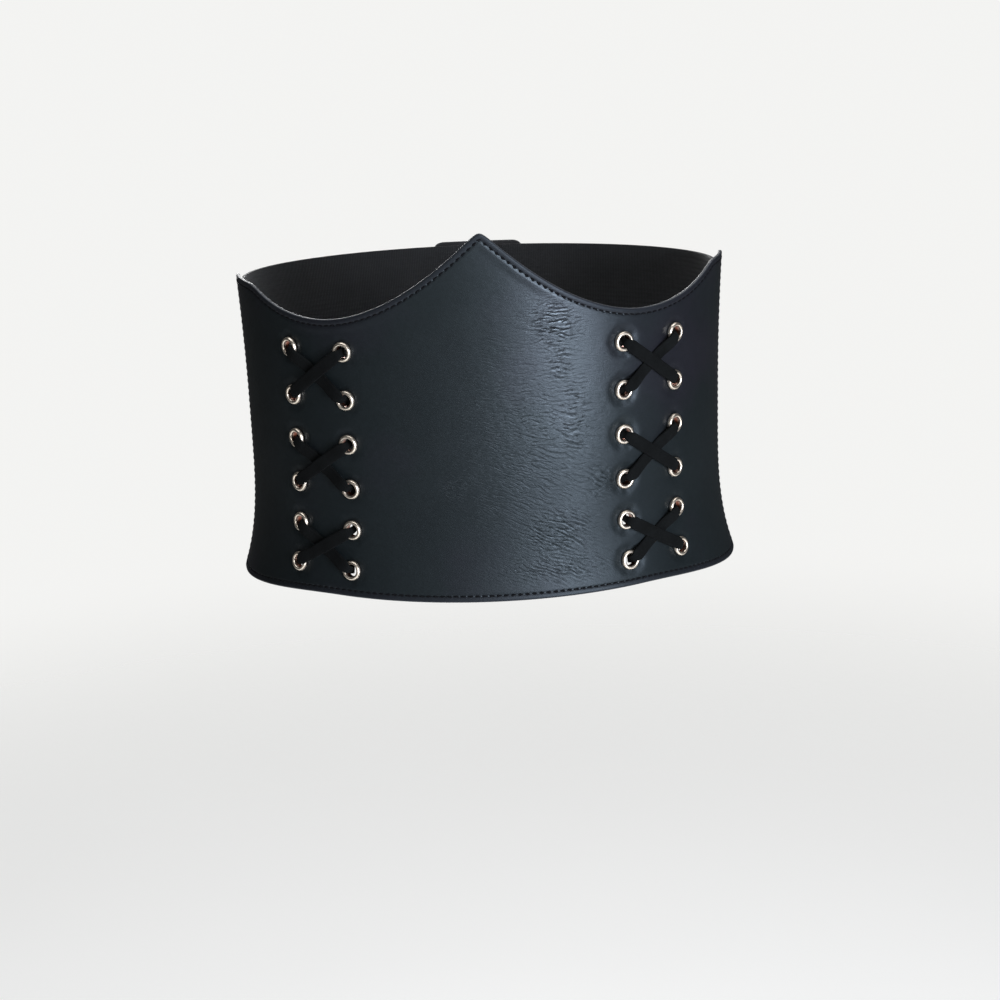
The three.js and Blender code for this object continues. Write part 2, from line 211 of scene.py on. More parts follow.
def outline_path(top, hem, half, centre=0.0, step=0.1 * MM):
    """The closed outline of a sheet as lengths and heights, from its lower left corner."""
    lengths = np.linspace(-half, half, int(2 * half / step))
    lower = np.stack([lengths, hem(lengths)], 1)
    upper = np.stack([lengths, top(lengths)], 1)
    rise = int((upper[-1, 1] - lower[-1, 1]) / step)
    right = np.linspace(lower[-1], upper[-1], rise)[1:-1]
    left = np.linspace(upper[0], lower[0], rise)[1:-1]
    path = np.concatenate([lower, right, upper[::-1], left])
    path[:, 0] += centre
    return path


def path_tree(path):
    """A search tree that finds the point of a path nearest to a place."""
    tree = kdtree.KDTree(len(path))
    for index, (length, height) in enumerate(path):
        tree.insert((length, height, 0), index)
    tree.balance()
    return tree


def distance_to(path, points, reach):
    """Each point's distance to a path, up to a reach, and the running length where it is."""
    tree = path_tree(path)
    run = np.concatenate([[0], np.cumsum(np.linalg.norm(np.diff(path, axis=0), axis=1))])
    distances = np.full(len(points), reach)
    runs = np.zeros(len(points))
    for index, (length, height) in enumerate(points):
        _, nearest, distance = tree.find((length, height, 0))
        distances[index] = min(distance, reach)
        runs[index] = run[nearest]
    return distances, runs


def ripple(points, across, seed):
    """Smooth noise from -1 to 1 at each point, with a feature size along and across."""
    return np.array([
        noise.noise(Vector((length / across[0], height / across[1], seed)))
        for length, height in points
    ])


def turned(points, degrees):
    """Lengths and heights turned in their plane."""
    angle = np.radians(degrees)
    cosine, sine = np.cos(angle), np.sin(angle)
    return np.stack([
        points[:, 0] * cosine + points[:, 1] * sine,
        points[:, 1] * cosine - points[:, 0] * sine,
    ], 1)


# Distances from an edge where a sheet of leather has extra rows of points
EDGE_STEPS = np.array([0, 0.25, 0.5, 0.9, 1.4, 2.0, 2.4, 2.8, 3.2, 3.6, 4.5]) * MM
STITCH_INSET = 2.8 * MM

# How much nearer to the outline a seam may come where it cuts a corner
INSET_SLACK = 0.12 * MM


def spaced(start, end, zones, fine, coarse, growth=0.12):
    """Values from start to end, closer together near some zones."""
    values = [start]
    while values[-1] < end:
        nearest = min(max(abs(values[-1] - zone["at"]) - zone["half"], 0) for zone in zones)
        values.append(values[-1] + min(fine + growth * nearest, coarse))
    values = np.array(values)
    return start + (values - start) * (end - start) / (values[-1] - start)


def sheet_grid(columns, top, hem, shares):
    """Points of a sheet in its own plane, with rows that follow its top edge and hem."""
    step = 0.05 * MM
    lean = np.minimum(np.abs(top(columns + step) - top(columns - step)) / (2 * step), 1)
    upper = top(columns)[:, None] - EDGE_STEPS[None, ::-1] * np.hypot(1, lean)[:, None]
    lower = hem(columns)[:, None] + EDGE_STEPS[None, :]
    middle = lower[:, -1:] + (upper[:, :1] - lower[:, -1:]) * shares[None, :]
    heights = np.concatenate([lower, middle, upper], 1)
    lengths = np.repeat(columns[:, None], heights.shape[1], 1)
    return np.stack([lengths.ravel(), heights.ravel()], 1), heights.shape[1]


def grid_quads(columns, rows):
    index = np.arange(columns * rows).reshape(columns, rows)
    quads = [index[:-1, :-1], index[1:, :-1], index[1:, 1:], index[:-1, 1:]]
    return np.stack(quads, -1).reshape(-1, 4)


def wall_mesh(outer, inner, quads, outward, bulge):
    """A closed wall from two faces that share quads, with a rounded rim between them.
    Returns points, faces and each face's part: 0 the face, 1 the back, 2 the rim."""
    used, renumbered = np.unique(quads, return_inverse=True)
    quads = renumbered.reshape(-1, 4)
    outer, inner, outward = outer[used], inner[used], outward[used]
    count = len(used)
    edges = np.concatenate([quads[:, [k, (k + 1) % 4]] for k in range(4)])
    low, high = edges.min(1), edges.max(1)
    _, first, times = np.unique(low * count + high, return_index=True, return_counts=True)
    rim = edges[first[times == 1]]
    rim_points = np.unique(rim)
    ring = np.full(count, -1)
    ring[rim_points] = 2 * count + np.arange(len(rim_points))
    middle = (outer + inner)[rim_points] / 2 + outward[rim_points] * bulge
    start, end = rim[:, 0], rim[:, 1]
    front_strip = np.stack([end, start, ring[start], ring[end]], 1)
    back_strip = np.stack([ring[end], ring[start], start + count, end + count], 1)
    faces = np.concatenate([quads, quads[:, ::-1] + count, front_strip, back_strip])
    part = np.repeat([0, 1, 2], [len(quads), len(quads), 2 * len(rim)])
    return np.concatenate([outer, inner, middle]), faces, part, used, rim_points


def mesh_object(name, points, faces, materials, parts=None):
    mesh = bpy.data.meshes.new(name)
    mesh.from_pydata(points.tolist(), [], faces if isinstance(faces, list) else faces.tolist())
    for material in materials:
        mesh.materials.append(material)
    if parts is not None:
        mesh.polygons.foreach_set("material_index", np.asarray(parts, np.int32))
    mesh.shade_smooth()
    mesh.update()
    piece = bpy.data.objects.new(name, mesh)
    bpy.context.scene.collection.objects.link(piece)
    return piece


def store(piece, name, values):
    """Keeps a number or a vector for each point of a piece, for its material or its tree."""
    values = np.asarray(values, np.float32)
    kind, field = ("FLOAT", "value") if values.ndim == 1 else ("FLOAT_VECTOR", "vector")
    attribute = piece.data.attributes.new(name, kind, "POINT")
    attribute.data.foreach_set(field, values.ravel())


def store_plane(piece, name, plane):
    """A UV map in metres, for patterns that follow the surface."""
    layer = piece.data.uv_layers.new(name=name)
    corners = np.zeros(len(piece.data.loops), np.int32)
    piece.data.loops.foreach_get("vertex_index", corners)
    layer.data.foreach_set("uv", plane[corners].astype(np.float32).ravel())


# Node helpers

# Where a fold's wave, from 1 in its valley to -1 on its crest, starts and ends to count as each
VALLEY = (0.30, 1.0)
CREST = (-0.1, -0.9)


class Tree:
    """Adds nodes and links to a node tree, a column at a time."""

    def __init__(self, nodes):
        self.tree = nodes
        self.count = 0

    def add(self, kind, inputs=None, **settings):
        node = self.tree.nodes.new(kind)
        node.location = (180 * self.count, -120 * (self.count % 4))
        self.count += 1
        for name, value in settings.items():
            setattr(node, name, value)
        for name, value in (inputs or {}).items():
            self.put(node.inputs[name], value)
        return node

    def put(self, socket, value):
        if isinstance(value, bpy.types.NodeSocket):
            self.tree.links.new(value, socket)
        else:
            socket.default_value = value

    def math(self, operation, first, second=0.0, third=0.0):
        inputs = {0: first, 1: second, 2: third}
        return self.add("ShaderNodeMath", inputs, operation=operation).outputs[0]

    def times(self, first, second):
        return self.math("MULTIPLY", first, second)

    def plus(self, first, second):
        return self.math("ADD", first, second)

    def minus(self, first, second):
        return self.math("SUBTRACT", first, second)

    def most(self, first, second):
        return self.math("MAXIMUM", first, second)

    def vector(self, operation, first, second):
        inputs = {0: first, 1: second}
        return self.add("ShaderNodeVectorMath", inputs, operation=operation).outputs[0]

    def scaled(self, vector, amount):
        inputs = {0: vector, "Scale": amount}
        return self.add("ShaderNodeVectorMath", inputs, operation="SCALE").outputs[0]

    def joined(self, **parts):
        """A vector from its parts."""
        return self.add("ShaderNodeCombineXYZ", parts).outputs[0]

    def part(self, vector, axis):
        return self.add("ShaderNodeSeparateXYZ", {"Vector": vector}).outputs[axis]

    def ramp(self, value, stops):
        node = self.add("ShaderNodeValToRGB", {"Fac": value})
        elements = node.color_ramp.elements
        while len(elements) < len(stops):
            elements.new(0.5)
        for element, (position, color) in zip(elements, stops):
            element.position = position
            element.color = (*color, 1)
        return node.outputs["Color"]

    def span(self, value, low, high, to_low, to_high, kind="LINEAR"):
        """A value moved from one range to another, and held inside it."""
        inputs = {"Value": value, 1: low, 2: high, 3: to_low, 4: to_high}
        return self.add("ShaderNodeMapRange", inputs, interpolation_type=kind).outputs[0]

    def mix(self, factor, first, color):
        inputs = {0: factor, 6: first, 7: (*color, 1)}
        return self.add("ShaderNodeMix", inputs, data_type="RGBA").outputs[2]

    def noise(self, vector, scale, detail=3.0, roughness=0.5, output="Fac"):
        inputs = {"Vector": vector, "Scale": scale, "Detail": detail, "Roughness": roughness}
        return self.add("ShaderNodeTexNoise", inputs).outputs[output]

    def mapping(self, vector, scale=(1, 1, 1), turn=(0, 0, 0)):
        inputs = {"Vector": vector, "Scale": scale, "Rotation": turn}
        return self.add("ShaderNodeMapping", inputs).outputs[0]

    def bump(self, height, distance, strength=1.0, normal=None):
        inputs = {"Height": height, "Distance": distance, "Strength": strength}
        if normal is not None:
            inputs["Normal"] = normal
        return self.add("ShaderNodeBump", inputs).outputs[0]

    def attribute(self, name):
        return self.add("ShaderNodeAttribute", attribute_name=name).outputs["Fac"]

    def plane(self, name):
        return self.add("ShaderNodeUVMap", uv_map=name).outputs[0]

    def kept(self, name, kind="FLOAT"):
        """In a Geometry Nodes tree, a value that was kept for each point."""
        inputs = {"Name": name}
        return self.add("GeometryNodeInputNamedAttribute", inputs, data_type=kind).outputs[0]

    def warped(self, vector, scale, amount):
        """A pattern's coordinates, shifted about by noise."""
        shift = self.vector("SUBTRACT", self.noise(vector, scale, 2.0, output="Color"),
                            (0.5, 0.5, 0.5))
        return self.vector("ADD", vector, self.scaled(shift, amount))

    def folds(self, turns, lies):
        """Folds, one for each whole turn, where they lie open: 1 along a valley, and 1 along
        the crest between two valleys."""
        wave = self.math("COSINE", self.times(turns, 2 * math.pi))
        shares = (self.span(wave, *ends, 0.0, 1.0, "SMOOTHSTEP") for ends in (VALLEY, CREST))
        return [self.times(share, lies) for share in shares]

    def cells(self, vector, scale, width):
        """Raised cells between narrow valleys, from 0 in a valley to 1 on a cell."""
        inputs = {"Vector": vector, "Scale": scale}
        node = self.add("ShaderNodeTexVoronoi", inputs, feature="DISTANCE_TO_EDGE")
        return self.span(node.outputs["Distance"], 0.0, width, 0.0, 1.0, "SMOOTHSTEP")


def new_material(name):
    """A material with its Principled shader, its helper and the piece's own coordinates."""
    material = bpy.data.materials.new(name)
    material.use_nodes = True
    shader = material.node_tree.nodes["Principled BSDF"]
    tree = Tree(material.node_tree)
    return material, shader, tree, tree.add("ShaderNodeTexCoord").outputs["Object"]


def shade(shader, tree, color, roughness, normal, **values):
    """Joins the textures to the shader, and sets its even values on its own sockets."""
    tree.put(shader.inputs["Base Color"], color)
    tree.put(shader.inputs["Roughness"], roughness)
    tree.put(shader.inputs["Normal"], normal)
    for name, value in values.items():
        shader.inputs[name.replace("_", " ")].default_value = value


def linear(red, green, blue):
    """A colour from its display values, 0 to 255, to the shader's own."""
    return tuple(
        (c / 255 / 12.92) if c <= 10 else ((c / 255 + 0.055) / 1.055) ** 2.4
        for c in (red, green, blue)
    )


def shaded(color, share):
    """A darker shade of a colour."""
    return tuple(share * value for value in color)


# Patterns of the leather, as repeats to a metre along and up its creases
SWAY_SCALE = (260, 330, 1)
WRINKLE_SCALE = (420, 800, 1)
CRACKLE_SCALE = (480, 980, 1)


def long_folds(tree, local):
    """Where both sets of long folds lie: their valleys, and the crests clear of a valley."""
    jitter = tree.times(tree.minus(tree.noise(local, 700.0, 2.0), 0.5), 0.35)
    deep, crest = 0.0, 0.0
    for label in FOLD_SETS:
        turns = tree.plus(tree.attribute(f"{label}_turns"), jitter)
        valley, ridge = tree.folds(turns, tree.attribute(f"{label}_open"))
        deep = tree.most(deep, valley)
        crest = tree.most(crest, ridge)
    return deep, tree.minus(crest, deep)


def fine_wrinkles(tree, creased, crease, pitch):
    """The finest wrinkles, in patches, and more of them where the leather is creased."""
    sway = tree.times(tree.noise(tree.mapping(creased, SWAY_SCALE), 1.0, 1.0), 3.0)
    turns = tree.math("MULTIPLY_ADD", tree.part(creased, "Y"), 1 / pitch, sway)
    patches = tree.noise(tree.mapping(creased, WRINKLE_SCALE), 1.0, 1.0)
    lies = tree.span(patches, 0.46, 0.6, 0.0, 1.0)
    return tree.folds(turns, tree.times(lies, tree.span(crease, 0.0, 0.5, 0.16, 1.0)))[0]


def fine_crackle(tree, creased, crease):
    """Uneven ground between the folds, around 0, almost gone where nothing is creased."""
    crackle = tree.noise(tree.mapping(creased, CRACKLE_SCALE), 1.0, 3.0, 0.65)
    return tree.times(tree.minus(crackle, 0.5), tree.span(crease, 0.05, 0.4, 0.1, 1.0))


def needle_holes(tree, edge, pitch):
    """The needle's dark pricks, one at each stitch of the seam."""
    beat = tree.math("SINE", tree.times(tree.attribute("run"), 2 * math.pi / pitch))
    off_seam = tree.math("ABSOLUTE", tree.minus(edge, STITCH_INSET / MM))
    in_seam = tree.span(off_seam, 0.25, 0.75, 1.0, 0.0)
    return tree.times(in_seam, tree.span(beat, 0.3, 1.0, 0.0, 1.0))


def leather_material(name, settings):
    """Soft blue-black leather: fine grain, folds that catch the light, a worn edge band, and
    painted shade in the fold valleys and round each eyelet.
    """
    material, shader, tree, local = new_material(name)
    creased = tree.plane("crease_plane")
    edge, ring, crease = (tree.attribute(label) for label in ("edge", "ring", "crease"))
    deep, crest = long_folds(tree, local)
    crackle = fine_crackle(tree, creased, crease)
    pricks = needle_holes(tree, edge, settings.stitch_pitch)
    reliefs = [
        {"height": tree.cells(tree.warped(local, 600.0, 0.0003), 1900.0, 0.25),
         "depth": 0.00003, "strength": 0.4},
        {"height": tree.noise(local, 3600.0, 2.0), "depth": 0.00002, "strength": 0.2},
        {"height": tree.noise(local, 300.0), "depth": 0.00010, "strength": 0.6},
        {"height": crackle, "depth": 0.00015, "strength": 0.8},
        {"height": fine_wrinkles(tree, creased, crease, settings.wrinkle_pitch),
         "depth": -0.00005, "strength": 1.0},
        {"height": deep, "depth": -0.00028, "strength": 1.0},
        {"height": pricks, "depth": -0.0004, "strength": 0.5},
    ]
    normal = None
    for relief in reliefs:
        normal = tree.bump(relief["height"], relief["depth"], relief["strength"], normal)
    base = tree.ramp(tree.noise(local, 14.0), [
        (0.3, settings.leather_color), (0.5, settings.leather_color),
        (0.68, settings.leather_warm)])
    layers = [
        (tree.span(tree.noise(local, 420.0), 0.35, 0.75, 0.0, 0.3), settings.leather_dark_and_shade),
        (tree.span(edge, 0.0, 0.45, 0.5, 0.0), settings.leather_edge),
        (tree.span(edge, 2.3, 2.8, 0.5, 0.0), settings.leather_warm),
        (tree.times(pricks, 0.8), settings.thread_color),
        # Painted shade: a darker ring on the leather just round each eyelet's rim, and under each
        # snap cap on the strap
        (tree.span(ring, 4.8, 6.8, 0.85, 0.0), settings.leather_dark_and_shade),
        # Painted shade: the colour darkens down in the valleys of the long folds
        (tree.times(deep, 0.4), settings.leather_dark_and_shade),
    ]
    for share, color in layers:
        base = tree.mix(share, base, color)
    worn = tree.most(tree.span(tree.part(local, "Z"), -0.055, 0.025, 1.0, 0.0),
                     tree.span(edge, 2.2, 2.8, 1.3, 0.0))
    dull = settings.leather_roughness
    rough = tree.span(tree.noise(local, 40.0), 0.3, 0.7, dull - 0.03, dull + 0.03)
    for share, weight in ((deep, 0.12), (worn, settings.worn_roughness), (crest, -0.12)):
        rough = tree.math("MULTIPLY_ADD", share, weight, rough)
    gloss = tree.span(worn, 0.0, 1.0, 0.5, 0.36)
    for share, weight in ((crest, 0.35), (crackle, 0.9)):
        gloss = tree.math("MULTIPLY_ADD", share, weight, gloss)
    tree.put(shader.inputs["Specular IOR Level"], gloss)
    shade(shader, tree, base, rough, normal, IOR=1.45, Specular_Tint=(*settings.gloss_tint, 1))
    return material


def backing_material(name, settings):
    """The napped fabric on the back of the leather."""
    material, shader, tree, local = new_material(name)
    nap = tree.noise(local, 1400.0, 4.0, 0.7)
    cloth = tree.noise(local, 90.0, 4.0)
    color = tree.ramp(tree.times(nap, cloth), [
        (0.12, shaded(settings.backing_color, 0.55)), (0.42, settings.backing_color)])
    shade(shader, tree, color, 0.93, tree.bump(nap, 0.00012, 0.8), Sheen_Weight=0.25,
          Sheen_Roughness=0.6, IOR=1.4)
    return material


def cut_material(name, settings):
    """The cut edge: painted, with fine fibres showing through."""
    material, shader, tree, local = new_material(name)
    fibres = tree.noise(tree.mapping(local, (1, 1, 4)), 900.0, 4.0, 0.65)
    color = tree.ramp(fibres, [(0.35, settings.leather_dark_and_shade), (0.62, settings.leather_edge)])
    shade(shader, tree, color, 0.6, tree.bump(fibres, 0.00012, 0.7), IOR=1.45)
    return material


def gold_material(name, settings):
    """Pale gold plate, a little dulled and scratched, with dark copper painted as shade down in an
    eyelet's barrel and under its rolled rim.
    """
    material, shader, tree, local = new_material(name)
    tarnish = tree.noise(local, 260.0, 5.0, 0.6)
    scratch = tree.noise(tree.mapping(local, (1, 1, 9), (0.5, 0.3, 0.2)), 1800.0, 2.0)
    color = tree.ramp(tarnish, [(0.22, settings.metal_dark), (0.42, settings.metal_color)])
    # Painted shade: the plate turns dark copper inside the barrel and under the rolled rim
    color = tree.mix(tree.attribute("barrel"), color, settings.barrel_shade_color)
    rough = tree.span(tree.times(tarnish, scratch), 0.1, 0.45, 0.40, 0.30)
    shade(shader, tree, color, rough, tree.bump(scratch, 0.00001, 0.2), Metallic=1.0)
    return material


def suede_material(name, settings):
    """Matt black suede, with a short brushed nap."""
    material, shader, tree, local = new_material(name)
    nap = tree.noise(local, 2200.0, 5.0, 0.7)
    brushed = tree.noise(local, 130.0, 4.0, 0.6)
    color = tree.ramp(brushed, [
        (0.32, shaded(settings.lace_color, 0.55)), (0.66, settings.lace_color)])
    color = tree.mix(tree.span(nap, 0.5, 0.75, 0.0, 0.4), color, settings.lace_nap)
    shade(shader, tree, color, 0.95, tree.bump(nap, 0.00012, 0.7), IOR=1.2)
    return material


def thread_material(name, settings):
    """Black twisted thread."""
    material, shader, tree, local = new_material(name)
    twist = tree.add("ShaderNodeTexWave", {"Vector": local, "Scale": 1500.0, "Distortion": 1.2,
                                           "Detail": 2.0}, bands_direction="DIAGONAL")
    color = tree.ramp(twist.outputs["Fac"], [
        (0.2, shaded(settings.thread_color, 0.4)), (0.8, settings.thread_color)])
    normal = tree.bump(twist.outputs["Fac"], 0.00008, 0.7)
    shade(shader, tree, color, 0.85, normal, IOR=1.25)
    return material


# The slant in degrees of the threads that bind the elastic's cords
ZIGZAG_SLANT = 38


def elastic_material(name, settings):
    """Woven elastic: rubber cords bound by fine zigzag threads."""
    material, shader, tree, local = new_material(name)
    plane = tree.plane("belt_plane")
    weft = tree.add("ShaderNodeTexWave", {
        "Vector": plane, "Scale": 1.0 / (3 * settings.weft_pitch), "Distortion": 0.6,
        "Detail": 1.0, "Detail Scale": 3.0}, bands_direction="X").outputs["Fac"]
    skew = tree.mapping(plane, turn=(0, 0, math.radians(ZIGZAG_SLANT)))
    zigzag = tree.add("ShaderNodeTexWave", {
        "Vector": skew, "Scale": 1.0 / (2.2 * settings.weft_pitch), "Distortion": 0.3},
        bands_direction="Y").outputs["Fac"]
    weave = tree.times(weft, tree.span(zigzag, 0.0, 1.0, 0.6, 1.0))
    lint = tree.noise(local, 900.0, 4.0, 0.7)
    patch = tree.noise(local, 30.0, 3.0)
    color = tree.ramp(weave, [
        (0.15, shaded(settings.elastic_color, 0.4)), (0.8, settings.elastic_color)])
    color = tree.mix(tree.span(lint, 0.55, 0.8, 0.0, 0.3), color, settings.lint_color)
    rough = tree.span(patch, 0.3, 0.7, 0.72, 0.9)
    normal = tree.bump(weave, 0.00016, 0.7)
    shade(shader, tree, color, rough, tree.bump(lint, 0.00006, 0.4, normal), Sheen_Weight=0.1,
          Sheen_Roughness=0.5, IOR=1.4)
    return material


def floor_material(name, settings):
    """A pale matt floor that fades out into the pale surroundings."""
    material, shader, tree, local = new_material(name)
    bright = settings.floor_color
    color = tree.ramp(tree.noise(local, 3.0), [(0.3, shaded(bright, 0.985)), (0.7, bright)])
    shade(shader, tree, color, 0.9, tree.bump(tree.noise(local, 60.0), 0.0004, 0.1),
          Emission_Color=STUDIO_WHITE, Emission_Strength=settings.floor_glow)
    level = tree.vector("MULTIPLY", local, (1, 1, 0))
    away = tree.add("ShaderNodeVectorMath", {0: level}, operation="LENGTH").outputs["Value"]
    fade = tree.span(away, settings.floor_solid, settings.floor_end, 1.0, 0.0, "SMOOTHSTEP")
    tree.put(shader.inputs["Alpha"], fade)
    return material


# Geometry Nodes helpers

def node_group(name, inputs):
    """An empty Geometry Nodes tree with named inputs, its helper, what it is given and its end."""
    group = bpy.data.node_groups.new(name, "GeometryNodeTree")
    group.interface.new_socket("Geometry", in_out="INPUT", socket_type="NodeSocketGeometry")
    for label, (kind, value) in inputs.items():
        socket = group.interface.new_socket(label, in_out="INPUT", socket_type=kind)
        if value is not None:
            socket.default_value = value
    group.interface.new_socket("Geometry", in_out="OUTPUT", socket_type="NodeSocketGeometry")
    tree = Tree(group)
    return group, tree, tree.add("NodeGroupInput").outputs, tree.add("NodeGroupOutput")


def run_tree(piece, group, values):
    """Runs a tree on a piece with some named inputs, and keeps the result as plain mesh."""
    modifier = piece.modifiers.new(group.name, "NODES")
    modifier.node_group = group
    for item in group.interface.items_tree:
        if item.item_type == "SOCKET" and item.in_out == "INPUT" and item.name in values:
            modifier[item.identifier] = values[item.name]
    bpy.context.view_layer.update()
    evaluated = piece.evaluated_get(bpy.context.evaluated_depsgraph_get())
    mesh = bpy.data.meshes.new_from_object(evaluated)
    piece.modifiers.remove(modifier)
    piece.data = mesh
    return piece


def finish_piece(piece, nodes=()):
    """Puts a finished piece on the belt's one body, for the nodes it replaces."""
    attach(piece, BODY)
    if nodes:
        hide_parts(*nodes)


def point_cloud(name, places, values):
    """Loose points with a direction each, for a tree to set copies on."""
    piece = mesh_object(name, places, [], [])
    for label, vectors in values.items():
        store(piece, label, vectors)
    return piece


# The section of a rolled ring, once round. Reach is a share of the way from the opening to
# the flange's edge, rise a share of the crest's height, sink a share of the depth behind, and
# barrel how much of the painted shade of dark copper the plate takes there, inside the barrel
# and under the rolled rim.
RING_SECTION = [
    {"reach": 0.00, "rise": 0.40, "sink": 0.00, "barrel": 0.55},
    {"reach": 0.02, "rise": 0.62, "sink": 0.00, "barrel": 0.15},
    {"reach": 0.10, "rise": 0.82, "sink": 0.00, "barrel": 0},
    {"reach": 0.26, "rise": 0.96, "sink": 0.00, "barrel": 0},
    {"reach": 0.46, "rise": 1.00, "sink": 0.00, "barrel": 0},
    {"reach": 0.66, "rise": 0.94, "sink": 0.00, "barrel": 0},
    {"reach": 0.84, "rise": 0.76, "sink": 0.00, "barrel": 0},
    {"reach": 0.96, "rise": 0.48, "sink": 0.00, "barrel": 0},
    {"reach": 1.00, "rise": 0.18, "sink": 0.00, "barrel": 0},
    {"reach": 0.96, "rise": -0.10, "sink": 0.00, "barrel": 0.3},
    {"reach": 0.80, "rise": -0.18, "sink": 0.00, "barrel": 1},
    {"reach": 0.40, "rise": -0.10, "sink": 0.00, "barrel": 1},
    {"reach": 0.27, "rise": 0.00, "sink": 0.05, "barrel": 1},
    {"reach": 0.26, "rise": 0.00, "sink": 0.76, "barrel": 1},
    {"reach": 0.45, "rise": 0.00, "sink": 0.83, "barrel": 0.5},
    {"reach": 0.80, "rise": 0.00, "sink": 0.86, "barrel": 0},
    {"reach": 0.88, "rise": 0.00, "sink": 0.92, "barrel": 0},
    {"reach": 0.80, "rise": 0.00, "sink": 0.98, "barrel": 0},
    {"reach": 0.40, "rise": 0.00, "sink": 1.00, "barrel": 0},
    {"reach": 0.12, "rise": 0.00, "sink": 0.96, "barrel": 0.2},
    {"reach": 0.01, "rise": 0.00, "sink": 0.86, "barrel": 1},
    {"reach": 0.00, "rise": 0.00, "sink": 0.30, "barrel": 1},
]


def section_curve(tree, share, column):
    """A Float Curve that follows one column of the ring's section."""
    node = tree.add("ShaderNodeFloatCurve", {"Value": share})
    node.mapping.use_clip = False
    curve = node.mapping.curves[0]
    count = len(RING_SECTION)
    rows = RING_SECTION + RING_SECTION[:1]
    curve.points[0].location = (0, rows[0][column])
    curve.points[1].location = (1, rows[0][column])
    for index in range(1, count):
        curve.points.new(index / count, rows[index][column])
    for point in curve.points:
        point.handle_type = "VECTOR"
    node.mapping.update()
    return node.outputs[0]


def ring_tree():
    """Rolled metal rings, one on each point, turned to the point's out direction."""
    group, tree, given, result = node_group("rolled_rings", {
        "Opening Radius": ("NodeSocketFloat", OPENING_RADIUS),
        "Flange Radius": ("NodeSocketFloat", FLANGE_RADIUS),
        "Crest Height": ("NodeSocketFloat", EYELET_SEAT + EYELET_CREST),
        "Depth Behind": ("NodeSocketFloat", LEATHER + EYELET_SEAT + EYELET_METAL),
        "Sides": ("NodeSocketInt", 40),
        "Tilt": ("NodeSocketFloat", 0.03),
        "Seed": ("NodeSocketInt", 7),
        "Material": ("NodeSocketMaterial", None),
    })
    count = len(RING_SECTION)
    path = tree.add("GeometryNodeCurvePrimitiveCircle", {"Resolution": given["Sides"]})
    section = tree.add("GeometryNodeCurvePrimitiveCircle", {"Resolution": count, "Radius": 0.1})
    torus = tree.add("GeometryNodeCurveToMesh", {
        "Curve": path.outputs[0], "Profile Curve": section.outputs[0]})
    index = tree.add("GeometryNodeInputIndex").outputs[0]
    share = tree.math("DIVIDE", tree.math("FLOORED_MODULO", index, count), count)
    around = tree.math("FLOOR", tree.math("DIVIDE", index, count))
    angle = tree.times(tree.math("DIVIDE", around, given["Sides"]), 2 * math.pi)
    width = tree.minus(given["Flange Radius"], given["Opening Radius"])
    radius = tree.math("MULTIPLY_ADD", section_curve(tree, share, "reach"), width,
                       given["Opening Radius"])
    rise = tree.times(section_curve(tree, share, "rise"), given["Crest Height"])
    sink = tree.times(section_curve(tree, share, "sink"), given["Depth Behind"])
    position = tree.joined(
        X=tree.times(radius, tree.math("COSINE", angle)),
        Y=tree.times(radius, tree.math("SINE", angle)),
        Z=tree.minus(rise, sink))
    ring = tree.add("GeometryNodeSetPosition", {
        "Geometry": torus.outputs[0], "Position": position})
    # Keeps how much painted shade of dark copper each point of the ring takes
    inside = tree.add("GeometryNodeStoreNamedAttribute", {
        "Geometry": ring.outputs[0], "Name": "barrel",
        "Value": section_curve(tree, share, "barrel")}, data_type="FLOAT", domain="POINT")
    aim = tree.add("FunctionNodeAlignRotationToVector", {
        "Vector": tree.kept("out", "FLOAT_VECTOR")}, axis="Z")
    copies = tree.add("GeometryNodeInstanceOnPoints", {
        "Points": given["Geometry"], "Instance": inside.outputs[0], "Rotation": aim.outputs[0]})
    lean = tree.add("FunctionNodeRandomValue", {
        0: tree.scaled((-1, -1, 0), given["Tilt"]), 1: tree.scaled((1, 1, 0), given["Tilt"]),
        "Seed": given["Seed"]}, data_type="FLOAT_VECTOR")
    leaned = tree.add("GeometryNodeRotateInstances", {
        "Instances": copies.outputs[0], "Rotation": lean.outputs[0]})
    close_tree(tree, leaned.outputs[0], given, result)
    return group


def close_tree(tree, geometry, given, result):
    """Ends a tree: realized, smooth and with the material that it was given."""
    real = tree.add("GeometryNodeRealizeInstances", {"Geometry": geometry})
    smooth = tree.add("GeometryNodeSetShadeSmooth", {"Geometry": real.outputs[0]})
    painted = tree.add("GeometryNodeSetMaterial", {
        "Geometry": smooth.outputs[0], "Material": given["Material"]})
    tree.put(result.inputs[0], painted.outputs[0])


